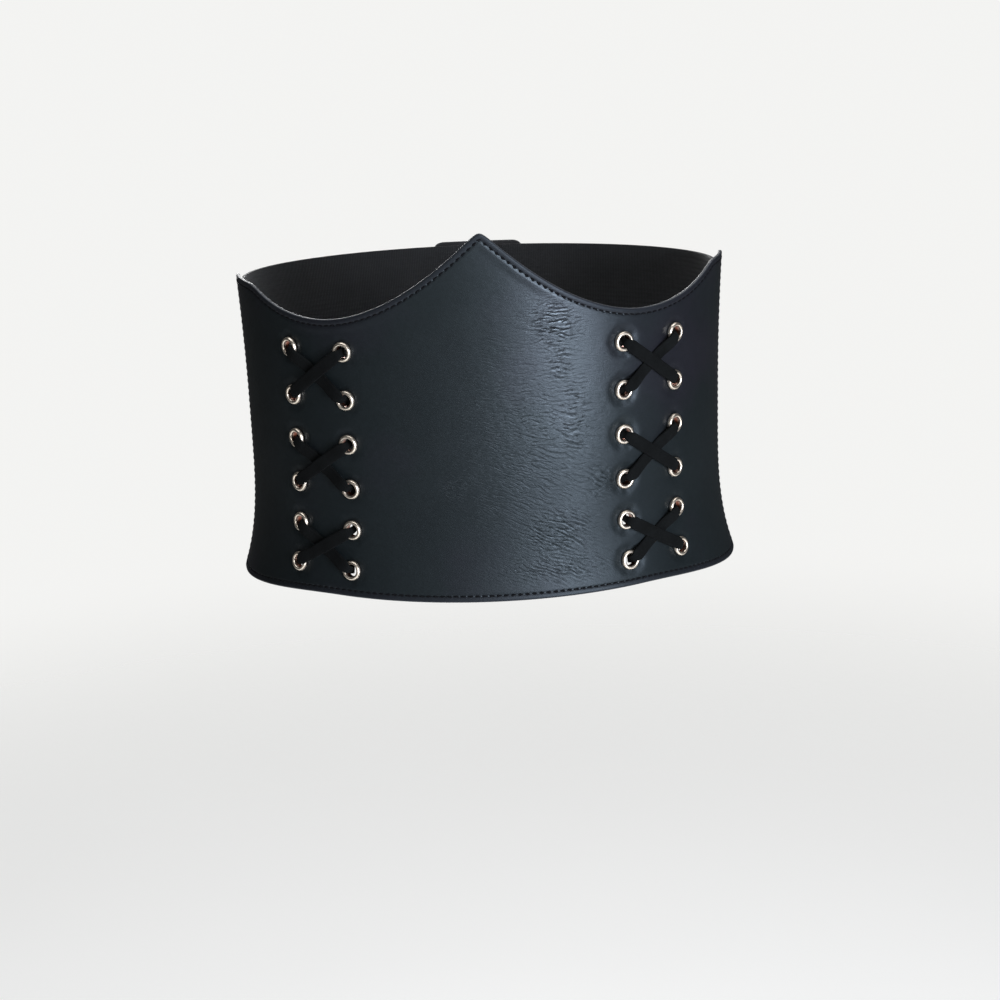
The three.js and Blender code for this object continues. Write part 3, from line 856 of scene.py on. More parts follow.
def stitch_tree():
    """Sunk stitches at an even pitch along each path, lying along it."""
    group, tree, given, result = node_group("stitches", {
        "Pitch": ("NodeSocketFloat", 0.0035),
        "Stitch Length": ("NodeSocketFloat", 0.0027),
        "Thread Width": ("NodeSocketFloat", 0.0008),
        "Lean": ("NodeSocketFloat", 0.08),
        "Seed": ("NodeSocketInt", 11),
        "Material": ("NodeSocketMaterial", None),
    })
    curve = tree.add("GeometryNodeMeshToCurve", {"Mesh": given["Geometry"]})
    even = tree.add("GeometryNodeResampleCurve", {
        "Curve": curve.outputs[0], "Length": given["Pitch"]}, mode="LENGTH")
    tangent = tree.add("GeometryNodeInputTangent").outputs[0]
    turn = tree.add("FunctionNodeAlignRotationToVector", {"Vector": tangent}, axis="X")
    turn = tree.add("FunctionNodeAlignRotationToVector", {
        "Rotation": turn.outputs[0], "Vector": tree.kept("out", "FLOAT_VECTOR")}, axis="Z",
        pivot_axis="X")
    bead = tree.add("GeometryNodeMeshUVSphere", {"Segments": 8, "Rings": 6, "Radius": 0.5})
    width = given["Thread Width"]
    size = tree.joined(X=width, Y=width, Z=given["Stitch Length"])
    spindle = tree.add("GeometryNodeTransform", {"Geometry": bead.outputs[0], "Scale": size})
    laid = tree.add("GeometryNodeTransform", {
        "Geometry": spindle.outputs[0], "Rotation": (0, math.pi / 2, 0)})
    copies = tree.add("GeometryNodeInstanceOnPoints", {
        "Points": even.outputs[0], "Instance": laid.outputs[0], "Rotation": turn.outputs[0]})
    lean = tree.add("FunctionNodeRandomValue", {
        2: tree.times(given["Lean"], -1.0), 3: given["Lean"], "Seed": given["Seed"]},
        data_type="FLOAT")
    leaned = tree.add("GeometryNodeRotateInstances", {
        "Instances": copies.outputs[0], "Rotation": tree.joined(Z=lean.outputs[1])})
    close_tree(tree, leaned.outputs[0], given, result)
    return group


def rib_tree():
    """Ribs pressed into both faces of a wall, at an even pitch up the wall."""
    group, tree, given, result = node_group("elastic_ribs", {
        "Rib Pitch": ("NodeSocketFloat", 0.0025),
        "Rib Depth": ("NodeSocketFloat", 0.00025),
        "Material": ("NodeSocketMaterial", None),
    })
    turns = tree.math("DIVIDE", tree.kept("height"), given["Rib Pitch"])
    wave = tree.math("ABSOLUTE", tree.math("SINE", tree.times(turns, math.pi)))
    press = tree.times(tree.minus(wave, 1.0), given["Rib Depth"])
    offset = tree.scaled(tree.kept("out", "FLOAT_VECTOR"), tree.times(press, tree.kept("soft")))
    moved = tree.add("GeometryNodeSetPosition", {
        "Geometry": given["Geometry"], "Offset": offset})
    close_tree(tree, moved.outputs[0], given, result)
    return group


def path_object(name, path, depth):
    """A line on the form, from lengths and heights, for the stitches."""
    point, _, _, out = place_at(path[:, 0], path[:, 1])
    mesh = bpy.data.meshes.new(name)
    edges = [(start, start + 1) for start in range(len(path) - 1)]
    mesh.from_pydata((point - out * depth).tolist(), edges, [])
    piece = bpy.data.objects.new(name, mesh)
    bpy.context.scene.collection.objects.link(piece)
    store(piece, "out", out)
    return piece


def inset_path(top, hem, half, inset, centre=0.0, step=0.5 * MM):
    """A closed line at an even distance inside a sheet's outline, rounded at its corners."""
    path = outline_path(top, hem, half, centre, step)
    ahead = np.roll(path, -1, axis=0) - np.roll(path, 1, axis=0)
    inward = unit(np.stack([-ahead[:, 1], ahead[:, 0]], 1))
    moved = path + inward * inset
    tree = path_tree(path)
    least = inset - INSET_SLACK
    kept = [place for place in moved if tree.find((*place, 0))[2] > least]
    return np.array(kept + kept[:1])


# Settings

def number_field(name, description, value, **limits):
    return bpy.props.FloatProperty(name=name, description=description, default=value, **limits)


def size_field(name, description, value):
    return number_field(name, description, value, unit="LENGTH", precision=5)


def power_field(name, description, value):
    return number_field(name, description, value, unit="POWER")


def color_field(name, description, value):
    return bpy.props.FloatVectorProperty(
        name=name, description=description, default=value, subtype="COLOR", size=3,
        min=0, max=1)


class LeatherSettings(bpy.types.PropertyGroup):
    leather_color: color_field("Leather", "Main colour of the leather", linear(21, 26, 28))
    # The dark tone of the leather's mottling and the cut edge's fibres, also used as painted shade
    # in the fold valleys and round each eyelet and snap
    leather_dark_and_shade: color_field("Leather Shade", "Colour in creases and pores", linear(12, 15, 16))
    leather_warm: color_field("Leather Cast", "Colour of its purplish patches", linear(27, 27, 33))
    gloss_tint: color_field("Gloss", "Tint of the leather's gloss", (0.74, 0.88, 1.0))
    leather_edge: color_field("Cut Edge", "Colour of the worn cut edge", linear(78, 82, 88))
    backing_color: color_field("Backing", "Colour of the napped back", linear(38, 38, 41))
    thread_color: color_field("Thread", "Colour of the stitching", linear(10, 11, 16))
    leather_roughness: number_field(
        "Roughness", "How dull the leather is", 0.37, subtype="FACTOR", min=0, max=1)
    worn_roughness: number_field(
        "Worn Roughness", "How much rougher the leather is low down", 0.06, subtype="FACTOR",
        min=0, max=1)
    stitch_pitch: number_field(
        "Stitch Pitch", "Length of one stitch with its gap, in millimetres", 3.5, min=1, max=12)
    wrinkle_pitch: size_field("Wrinkle Pitch", "Distance between the finest wrinkles", 0.0012)
    thread_width: size_field("Thread Width", "Width of the thread", 0.0009)
    pucker_depth: size_field("Pucker", "How deep each eyelet draws the leather in", 0.0004)
    crease_depth: size_field("Crease Depth", "Depth of the deepest creases", 0.00016)
    wave_depth: size_field("Wave Depth", "Height of the panel's slow waves", 0.0005)


class MetalSettings(bpy.types.PropertyGroup):
    metal_color: color_field("Metal", "Colour of the pale gold plate", (0.86, 0.77, 0.66))
    metal_dark: color_field("Tarnish", "Colour of the plate where it is dull", (0.56, 0.42, 0.32))
    # Painted shade: the dark copper that the plate takes inside each eyelet's barrel and under its
    # rim
    barrel_shade_color: color_field("Barrel", "Colour inside an eyelet's barrel", (0.26, 0.08, 0.045))
    opening_radius: size_field("Opening", "Radius of an eyelet's opening", OPENING_RADIUS)
    flange_radius: size_field("Flange", "Radius of an eyelet's rolled face", FLANGE_RADIUS)
    crest_height: size_field("Crest", "Height of the rolled face", EYELET_SEAT + EYELET_CREST)
    snap_radius: size_field("Snap", "Radius of a snap's cap", 0.006)
    snap_crest: size_field("Snap Crest", "Height of a snap's cap", 0.002)


class LaceSettings(bpy.types.PropertyGroup):
    lace_color: color_field("Lace", "Colour of the suede", linear(13, 15, 16))
    lace_nap: color_field("Nap", "Colour of the nap's tips", linear(22, 25, 26))
    lace_width: size_field("Width", "Width of the flat lace", 0.0063)
    lace_thickness: size_field("Thickness", "Thickness of the lace", 0.0013)
    lace_end: size_field("End Length", "Length of a loose end behind", 0.020)


class ElasticSettings(bpy.types.PropertyGroup):
    elastic_color: color_field("Elastic", "Colour of the woven elastic", linear(33, 35, 38))
    lint_color: color_field("Lint", "Colour of the fine lint", linear(52, 54, 58))
    rib_pitch: size_field("Rib Pitch", "Height of one rib", 0.0025)
    rib_depth: size_field("Rib Depth", "Depth between two ribs", 0.0003)
    weft_pitch: size_field("Weft Pitch", "Width of one crossing thread", 0.0011)


class StageSettings(bpy.types.PropertyGroup):
    floor_color: color_field("Floor", "Colour of the floor and wall", (0.86, 0.86, 0.85))
    floor_drop: size_field("Floor Drop", "How far the floor lies below the waist", 0.8)
    floor_glow: number_field(
        "Floor Glow", "Even light of its own that keeps the floor pale", 0.3)
    floor_solid: size_field("Floor Radius", "Where the floor starts to fade", 0.9)
    floor_end: size_field("Floor End", "Where the floor has faded out", 2.2)
    key_power: power_field("Key Power", "Power of the tall narrow light", 22)
    key_color: color_field("Key Color", "Colour of the tall narrow light", (0.87, 0.91, 1.0))
    fill_power: power_field("Fill Power", "Power of the wide weak light on the left", 1.7)
    front_power: power_field("Front Power", "Power of the wide soft light beside it", 5)
    back_power: power_field("Back Power", "Power of the soft light behind the belt", 3)
    top_power: power_field("Top Power", "Power of the wide overhead light", 50)
    backdrop_strength: number_field(
        "Backdrop", "Brightness of the pale surroundings as seen", 0.9)
    ambient_strength: number_field(
        "Surrounding Light", "Strength of the even light all round", 0.04)


# Pieces

# Where the panel's columns of points stand closer, and where the right half's do for its creases
LEATHER_ZONES = [
    {"at": 0.0, "half": 1 * MM},
    {"at": COLUMN_LENGTHS[0], "half": 6.5 * MM},
    {"at": COLUMN_LENGTHS[1], "half": 6.5 * MM},
    {"at": RIGHT_TIP["length"] - 3 * MM, "half": 4 * MM},
]
CREASE_ZONE = {"at": 36 * MM, "half": 16 * MM}
COLUMN_SPACING = {"fine": 0.9 * MM, "coarse": 2.3 * MM, "growth": 0.16}

# Heights with closely spaced rows of points, for the deepest creases
CREASE_ROWS = [{"at": 48 * MM, "half": 10 * MM}, {"at": -56 * MM, "half": 16 * MM}]
ROW_SPACING = {"fine": 0.72 * MM, "coarse": 1.25 * MM, "growth": 0.1}

# How far a face's middle may lie outside a hole and still be cut away
HOLE_MARGIN = 0.15 * MM


def panel_columns():
    """Lengths of the panel's columns of points, closer at the peak, eyelets and tips."""
    end = PANEL_HALF - EDGE_STEPS[-1]
    rim = PANEL_HALF - EDGE_STEPS[::-1]
    left, right = (
        np.concatenate([spaced(0, end, zones, **COLUMN_SPACING)[:-1], rim])
        for zones in (LEATHER_ZONES, LEATHER_ZONES + [CREASE_ZONE])
    )
    return np.concatenate([-left[:0:-1], right])


def panel_rows():
    """Shares of the height between the panel's edges where its rows of points lie."""
    low = float(panel_hem(CREASE_ZONE["at"])) + EDGE_STEPS[-1]
    high = float(panel_top(CREASE_ZONE["at"])) - EDGE_STEPS[-1]
    heights = spaced(low, high, CREASE_ROWS, **ROW_SPACING)
    return (heights[1:-1] - low) / (high - low)


def open_holes(plane, quads):
    """Removes the faces over the eyelet holes and draws the holes round."""
    centres = eyelet_places()
    stretch = form_scale(centres[:, 1])
    for (length, height), scale in zip(centres, stretch):
        offset = (plane - (length, height)) * (scale, 1)
        away = np.linalg.norm(offset, axis=1)
        cut = away[quads].mean(1) < HOLE_RADIUS + HOLE_MARGIN
        rim = np.intersect1d(quads[cut], quads[~cut])
        quads = quads[~cut]
        direction = offset[rim] / away[rim, None]
        plane[rim] = (length, height) + direction * HOLE_RADIUS / (scale, 1)
    return plane, quads


def eyelet_distance(plane):
    """Distance and direction from each point to the nearest eyelet's centre."""
    best = np.full(len(plane), 1.0)
    angle = np.zeros(len(plane))
    index = np.zeros(len(plane), int)
    for number, (length, height) in enumerate(eyelet_places()):
        offset = plane - (length, height)
        away = np.linalg.norm(offset, axis=1)
        nearer = away < best
        best[nearer] = away[nearer]
        angle[nearer] = np.arctan2(offset[nearer, 1], offset[nearer, 0])
        index[nearer] = number
    return best, angle, index


# The creases' slant in degrees at the top of the panel and low down, and the heights between
CREASE_SLANT = {"top": 5, "low": 26, "start": 0.030, "end": -0.055}


def crease_plane(plane):
    """Coordinates whose first axis follows the creases: almost level at the top of the panel
    and slanting down to the right lower."""
    length, height = plane[:, 0], plane[:, 1]
    share = smoothstep(CREASE_SLANT["start"], CREASE_SLANT["end"], height)
    turn = CREASE_SLANT["top"] + (CREASE_SLANT["low"] - CREASE_SLANT["top"]) * share
    slant = np.radians(turn)
    return np.stack([length, height + length * np.tan(slant)], 1)


# Sets of long folds: how far they turn from the crease plane, their pitch, their length
FOLD_SETS = {
    "fold": {"turn": -3, "pitch": 2.1 * MM, "reach": 5.0 * MM, "seed": 0.3},
    "cross": {"turn": 12, "pitch": 1.8 * MM, "reach": 4.2 * MM, "seed": 5.8},
}

# How far a set sways, in turns, and the noise between which a fold opens
FOLD_SWAY = 0.9
FOLD_OPEN = (-0.05, 0.25)


def fold_set(plane, turn, pitch, reach, seed):
    """A set's running number at each point, whole along each fold, and where a fold is open."""
    along = turned(crease_plane(plane), turn)
    sway = FOLD_SWAY * ripple(plane, (1.5 * reach, 3.5 * pitch), seed)
    lies = ripple(along, (reach, 0.9 * pitch), seed + 4.1)
    return along[:, 1] / pitch + sway, smoothstep(*FOLD_OPEN, lies)


# Where the worn leather is creased: centre and reach along and up, and how strongly
CREASE_SPOTS = [
    {"at": (34, 50), "reach": (10, 10), "strength": 1.0},
    {"at": (36, 30), "reach": (6, 10), "strength": 0.6},
    {"at": (43, 3), "reach": (8, 20), "strength": 0.5},
    {"at": (31, -53), "reach": (18, 12), "strength": 0.55},
    {"at": (30, -71), "reach": (26, 7), "strength": 0.42},
    {"at": (57, -30), "reach": (7, 8), "strength": 0.5},
    {"at": (16, -8), "reach": (34, 46), "strength": 0.3},
    {"at": (-17, -28), "reach": (7, 6), "strength": 0.6},
]


def crease_field(plane):
    """The depth of the folds, how creased each point is, and the values its shader needs."""
    mask = np.zeros(len(plane))
    for spot in CREASE_SPOTS:
        offset = (plane / MM - spot["at"]) / spot["reach"]
        mask = np.maximum(mask, spot["strength"] * np.exp(-np.sum(offset**2, axis=1)))
    depth = np.zeros(len(plane))
    values = {}
    for name, shape in FOLD_SETS.items():
        turns, lies = fold_set(plane, **shape)
        lies = lies * mask
        depth = np.maximum(depth, lies * (0.5 + 0.5 * np.cos(2 * math.pi * turns)) ** 2)
        values[f"{name}_turns"] = turns
        values[f"{name}_open"] = lies
    return depth, mask, values


# The sewn seam's dip and the cut edge's rounding: depths and widths
FRONT_EDGE = {"seam": 0.26 * MM, "seam_width": 0.5 * MM, "round": 0.30 * MM,
              "round_width": 0.6 * MM}
STRAP_EDGE = {"seam": 0.32 * MM, "seam_width": 0.55 * MM, "round": 0.45 * MM,
              "round_width": 0.9 * MM}
WELT = {"height": 0.03 * MM, "at": 1.5 * MM, "width": 0.8 * MM}

# How high the pulled leather stands round an eyelet, and how far beyond its ring it sinks
PUCKER_HEIGHT = 0.06 * MM
PUCKER_REACH = 4.5 * MM


def edge_relief(edge, shape):
    """The relief of a sheet's edge band, from the distance to its edge."""
    seam = shape["seam"] * np.exp(-((edge - STITCH_INSET) / shape["seam_width"]) ** 2)
    return -seam - shape["round"] * (1 - smoothstep(0, shape["round_width"], edge))


def inside_band(edge):
    """1 on the face inside the sewn edge band, and 0 on the band."""
    return smoothstep(3.5 * MM, 8 * MM, edge)


def leather_relief(plane, settings, edge):
    """How far each point of the face stands out, and the values that its shader needs."""
    away, angle, index = eyelet_distance(plane)
    sunk = 1 - smoothstep(FLANGE_RADIUS, FLANGE_RADIUS + PUCKER_REACH, away)
    lobes = np.cos(7 * angle + 2.3 * index) + 0.6 * np.cos(5 * angle + 1.1 * index)
    ring = smoothstep(4 * MM, 5.4 * MM, away) * (1 - smoothstep(6 * MM, 10 * MM, away))
    creases, mask, values = crease_field(plane)
    inside = inside_band(edge)
    clear = inside * smoothstep(6 * MM, 10 * MM, away)
    slow = 0.6 * ripple(plane, (75 * MM, 110 * MM), 1.4)
    slow = slow + 0.4 * ripple(plane, (45 * MM, 60 * MM), 9.2)
    welt = WELT["height"] * np.exp(-((edge - WELT["at"]) / WELT["width"]) ** 2)
    relief = PUCKER_HEIGHT * lobes * ring - settings.pucker_depth * sunk
    relief = relief + (settings.wave_depth * slow - settings.crease_depth * creases) * clear
    relief = relief + edge_relief(edge, FRONT_EDGE) + welt
    # ring is the distance that places the painted shade round each eyelet
    return relief, {"crease": (0.02 + 0.98 * mask) * inside, "ring": away / MM, **values}


# How far in from its outline a sheet's edge is felt, and how its back and its cut are rounded
EDGE_REACH = 12 * MM
BACK_ROUND = {"depth": 0.25 * MM, "width": 0.6 * MM}
CUT_BULGE = 0.15 * MM


def leather_sheet(name, plane, quads, top, hem, half, centre, depth, thickness, relief_of,
                  materials):
    """A leather piece from its flat points: a detailed face, a plain back and a cut rim."""
    path = outline_path(top, hem, half, centre)
    edge, run = distance_to(path, plane, EDGE_REACH)
    relief, values = relief_of(plane, edge)
    point, along, up, out = place_at(plane[:, 0], plane[:, 1])
    rounding = BACK_ROUND["depth"] * (1 - smoothstep(0, BACK_ROUND["width"], edge))
    outer = point + out * (relief - depth)[:, None]
    inner = point - out * (depth + thickness - rounding)[:, None]
    aim = outward_in_plane(plane, path)
    outward = along * aim[:, :1] + up * aim[:, 1:]
    points, faces, part, used, rim = wall_mesh(outer, inner, quads, outward, CUT_BULGE)
    piece = mesh_object(name, points, faces, materials, part)
    every = np.concatenate([used, used, used[rim]])
    store(piece, "edge", edge[every] / MM)
    store(piece, "run", run[every] / MM)
    for label, value in values.items():
        store(piece, label, value[every])
    store_plane(piece, "crease_plane", crease_plane(plane[every]))
    return piece


# How near a point lies to count as one of the outline's own
ON_OUTLINE = 0.3 * MM


def outward_in_plane(plane, path):
    """The direction straight out of the outline, for each point that lies on it."""
    direction = np.zeros_like(plane)
    tree = path_tree(path)
    ahead = unit(np.roll(path, -3, axis=0) - np.roll(path, 3, axis=0))
    for index, (length, height) in enumerate(plane):
        _, nearest, distance = tree.find((length, height, 0))
        if distance < ON_OUTLINE:
            direction[index] = (ahead[nearest, 1], -ahead[nearest, 0])
    return direction


class BELT_OT_front(bpy.types.Operator):
    """Builds the leather front with its creases, edge band and eyelet holes"""

    bl_idname = "corset_belt.front"
    bl_label = "Leather Front"

    def execute(self, context):
        settings = context.scene.belt_leather
        columns = panel_columns()
        plane, rows = sheet_grid(columns, panel_top, panel_hem, panel_rows())
        plane, quads = open_holes(plane, grid_quads(len(columns), rows))
        materials = [
            leather_material("leather_face", settings),
            backing_material("leather_back", settings),
            cut_material("leather_cut", settings),
        ]
        piece = leather_sheet(
            "front_leather", plane, quads, panel_top, panel_hem, PANEL_HALF, 0.0, 0.0, LEATHER,
            lambda points, edge: leather_relief(points, settings, edge), materials)
        finish_piece(piece, ["front_panel"])
        return {"FINISHED"}


# How deep a stitch sinks in, and its length as a share of the pitch
STITCH_SINK = 0.2 * MM
STITCH_SHARE = 0.78


class BELT_OT_stitches(bpy.types.Operator):
    """Sews the sunk stitches round the front panel and the back strap"""

    bl_idname = "corset_belt.stitches"
    bl_label = "Stitches"

    def execute(self, context):
        settings = context.scene.belt_leather
        values = {
            "Pitch": settings.stitch_pitch * MM,
            "Stitch Length": STITCH_SHARE * settings.stitch_pitch * MM,
            "Thread Width": settings.thread_width,
            "Material": thread_material("thread", settings),
        }
        tree = stitch_tree()
        front = inset_path(panel_top, panel_hem, PANEL_HALF, STITCH_INSET)
        strap = inset_path(strap_top, strap_hem, STRAP_HALF, STITCH_INSET, HALF_WAIST)
        for name, path, depth in (("front", front, 0), ("strap", strap, STRAP_DEPTH)):
            line = path_object(f"{name}_stitches", path, depth + STITCH_SINK)
            finish_piece(run_tree(line, tree, values))
        return {"FINISHED"}


class BELT_OT_eyelets(bpy.types.Operator):
    """Sets a rolled ring in each hole of the front panel"""

    bl_idname = "corset_belt.eyelets"
    bl_label = "Eyelets"

    def execute(self, context):
        settings = context.scene.belt_metal
        places = eyelet_places()
        point, _, _, out = place_at(places[:, 0], places[:, 1])
        piece = run_tree(point_cloud("eyelets", point, {"out": out}), ring_tree(), {
            "Opening Radius": settings.opening_radius,
            "Flange Radius": settings.flange_radius,
            "Crest Height": settings.crest_height,
            "Material": gold_material("gold_plate", settings),
        })
        finish_piece(piece, EYELET_NODES)
        return {"FINISHED"}


# The eyelets in the order that a lace runs through them, on the face first
LACE_ROUTE = [
    {"column": 0, "row": 5}, {"column": 1, "row": 4}, {"column": 1, "row": 3},
    {"column": 0, "row": 2}, {"column": 0, "row": 1}, {"column": 1, "row": 0},
    {"column": 0, "row": 0}, {"column": 1, "row": 1}, {"column": 1, "row": 2},
    {"column": 0, "row": 3}, {"column": 0, "row": 4}, {"column": 1, "row": 5},
]

# Steps of a lace from an eyelet's mouth to the free strand, as in the solids
MOUTH_STEPS = [
    {"reach": 0, "rise": 0, "open": 0},
    {"reach": 0.12, "rise": 0.84, "open": 0.2},
    {"reach": 0.42, "rise": 0.97, "open": 0.45},
    {"reach": 0.72, "rise": 1, "open": 1},
    {"reach": 1.14, "rise": 1, "open": 1},
]

# How far off an eyelet's centre a lace runs, its width in the eyelet, and how far beyond the
# flange a loose end lies flat
LACE_LEAN = 0.0007
THROAT_WIDTH = 0.0038
END_CLEARANCE = 3.1 * MM


class Stop:
    """One eyelet on a lace's way: where it is and which way its leather faces."""

    def __init__(self, sign, column, row):
        self.column, self.row = column, row
        self.length = sign * COLUMN_LENGTHS[column]
        self.height = LACING_TOP - LACING_HEIGHT * ROW_DROPS[row]
        point, _, _, out = place_at(self.length, self.height)
        self.point, self.out = point, out

    def towards(self, other):
        """The direction in the leather's plane to another eyelet."""
        direction = other.point - self.point
        return unit(direction - self.out * np.dot(direction, self.out))


def mouth_stations(stop, towards, mouth, strand, settings):
    """Where a lace leaves an eyelet: its places, its directions across and its widths."""
    across = np.cross(stop.out, towards)
    stations = []
    for step in MOUTH_STEPS:
        reach = LACE_LEAN + (FLANGE_RADIUS - LACE_LEAN) * step["reach"]
        rise = mouth + (strand - mouth) * step["rise"]
        width = THROAT_WIDTH + (settings.lace_width - THROAT_WIDTH) * step["open"]
        stations.append((stop.point + towards * reach + stop.out * rise, across, width))
    return stations


def face_stations(start, end, rise, settings):
    """A strand on the face, low or high where it meets its partner."""
    half = settings.lace_width / np.linalg.norm(end.point - start.point)
    stations = []
    for share in (0.5 - half, 0.5, 0.5 + half):
        length = start.length + (end.length - start.length) * share
        height = start.height + (end.height - start.height) * share
        point, _, _, out = place_at(length, height)
        direction = end.point - point
        towards = unit(direction - out * np.dot(direction, out))
        stations.append((point + out * rise, np.cross(out, towards), settings.lace_width))
    return stations


def end_stations(stop, other, lap, behind, settings):
    """A loose end behind, from its eyelet towards the other end's."""
    towards = stop.towards(other)
    stations = mouth_stations(stop, towards, -LEATHER, behind, settings)
    chord = unit(other.point - stop.point)
    start = FLANGE_RADIUS + END_CLEARANCE + lap
    for reach in (start, settings.lace_end):
        point = stop.point + chord * reach + stop.out * (behind - lap)
        stations.append((point, stations[0][1], settings.lace_width))
    return stations


def lace_stations(sign, settings):
    """All of a lace's places, from one loose end through twelve eyelets to the other."""
    thickness = settings.lace_thickness
    over_rim = EYELET_SEAT + EYELET_CREST + LACE_GAP + thickness / 2
    under = LACE_GAP + thickness / 2
    over = under + thickness + LACE_GAP
    behind = -(LEATHER + EYELET_SEAT + EYELET_METAL + LACE_GAP + thickness / 2)
    lap = thickness + LACE_GAP
    stops = [Stop(sign, stop["column"], stop["row"]) for stop in LACE_ROUTE]
    stations = end_stations(stops[0], stops[-1], 0, behind, settings)[::-1]
    for index, (start, end) in enumerate(zip(stops, stops[1:])):
        on_face = index % 2 == 0
        mouth = 0 if on_face else -LEATHER
        strand = over_rim if on_face else behind
        stations += mouth_stations(start, start.towards(end), mouth, strand, settings)
        if on_face:
            lies_over = (start.row > end.row) == (start.column > end.column)
            stations += face_stations(start, end, over if lies_over else under, settings)
        stations += mouth_stations(end, end.towards(start), mouth, strand, settings)[::-1]
    stations += end_stations(stops[-1], stops[0], lap, behind, settings)
    for index in range(1, len(stations)):
        point, across, width = stations[index]
        if np.dot(across, stations[index - 1][1]) < 0:
            stations[index] = (point, -across, width)
    return stations


def smooth_rows(rows, spacing):
    """Rows of values along a smooth curve through given rows, at an even spacing."""
    padded = np.concatenate([2 * rows[:1] - rows[1:2], rows, 2 * rows[-1:] - rows[-2:-1]])
    knots = np.concatenate([[0], np.cumsum(
        np.maximum(np.linalg.norm(np.diff(padded[:, :3], axis=0), axis=1), 1e-5) ** 0.5)])
    found = []
    for i in range(1, len(padded) - 2):
        gap = np.linalg.norm(padded[i + 1, :3] - padded[i, :3])
        steps = max(int(round(gap / spacing)), 1)
        for t in np.linspace(knots[i], knots[i + 1], steps, endpoint=False):
            found.append(curve_value(padded, knots, i, t))
    return np.array(found + [padded[-2]])


def curve_value(rows, knots, i, t):
    """A centripetal Catmull-Rom curve between rows i and i + 1."""
    def blend(first, second, low, high):
        return first * ((high - t) / (high - low)) + second * ((t - low) / (high - low))
    k = knots[i - 1:i + 3]
    a1 = blend(rows[i - 1], rows[i], k[0], k[1])
    a2 = blend(rows[i], rows[i + 1], k[1], k[2])
    a3 = blend(rows[i + 1], rows[i + 2], k[2], k[3])
    b1 = blend(a1, a2, k[0], k[2])
    b2 = blend(a2, a3, k[1], k[3])
    return blend(b1, b2, k[1], k[2])


def lace_section(corner_steps=3, edge_steps=5, round_off=0.22, flat=0.35):
    """The lace's rounded flat section in shares of its half width and half thickness."""
    points = []
    corners = [(1, 1, 0), (-1, 1, 90), (-1, -1, 180), (1, -1, 270)]
    for across, face, start in corners:
        for step in range(corner_steps + 1):
            angle = math.radians(start + 90 * step / corner_steps)
            points.append((across * (1 - round_off) + round_off * math.cos(angle),
                           face * flat + (1 - flat) * math.sin(angle)))
        if across == face:
            for step in range(1, edge_steps):
                share = 1 - 2 * step / edge_steps
                points.append((across * share * (1 - round_off), face))
    return points


# How uneven a lace is, as shares of its width and thickness, how often along it, and how much
# its edges curl down
LACE_UNEVEN = {"width": 0.05, "width_every": 9 * MM, "face": 0.10, "face_every": 3 * MM}
LACE_CUP = 0.10


class BELT_OT_laces(bpy.types.Operator):
    """Threads a flat suede lace through the eyelets of each side"""

    bl_idname = "corset_belt.laces"
    bl_label = "Laces"

    def execute(self, context):
        settings = context.scene.belt_lace
        suede = suede_material("suede", settings)
        for name, sign in (("right", 1), ("left", -1)):
            stations = lace_stations(sign, settings)
            rows = np.array([[*point, *across, width] for point, across, width in stations])
            rows = smooth_rows(rows, 1.0 * MM)
            piece = self.ribbon(f"{name}_lace", rows, settings, suede, 4.0 + sign)
            finish_piece(piece, [f"lace_{name}"])
        return {"FINISHED"}

    def ribbon(self, name, rows, settings, material, seed):
        section = lace_section()
        count = len(section)
        tangent = unit(np.gradient(rows[:, :3], axis=0))
        across = rows[:, 3:6]
        across = unit(across - tangent * np.sum(across * tangent, 1, keepdims=True))
        normal = np.cross(tangent, across)
        run = np.cumsum(np.linalg.norm(np.diff(rows[:, :3], axis=0, prepend=rows[:1, :3]), axis=1))
        points = []
        for index, row in enumerate(rows):
            along = run[index]
            uneven = noise.noise(Vector((along / LACE_UNEVEN["width_every"], seed, 0)))
            half = row[6] / 2 * (1 + LACE_UNEVEN["width"] * uneven)
            for side, face in section:
                place = (along / LACE_UNEVEN["face_every"], side * 2, seed + face)
                rise = face + LACE_UNEVEN["face"] * noise.noise(Vector(place))
                height = settings.lace_thickness / 2 * (rise - LACE_CUP * side**2)
                points.append(row[:3] + across[index] * half * side + normal[index] * height)
        faces = []
        for i in range(len(rows) - 1):
            for k in range(count):
                a, b = i * count + k, i * count + (k + 1) % count
                faces.append((a, b, b + count, a + count))
        last = (len(rows) - 1) * count
        faces.append(tuple(range(count))[::-1])
        faces.append(tuple(last + k for k in range(count)))
        return mesh_object(name, np.array(points), faces, [material])


# The elastic's grid, the thicker selvedge at its edges, its slow waves, and how far from the
# leather that covers its ends both fade out
RIB_STEPS = 6
ELASTIC_COLUMNS = 46
SELVEDGE = {"height": 0.12 * MM, "width": 2.5 * MM}
ELASTIC_WAVE = {"height": 0.15 * MM, "reach": (40 * MM, 25 * MM), "start": 8 * MM}
COVER_FADE = 6 * MM


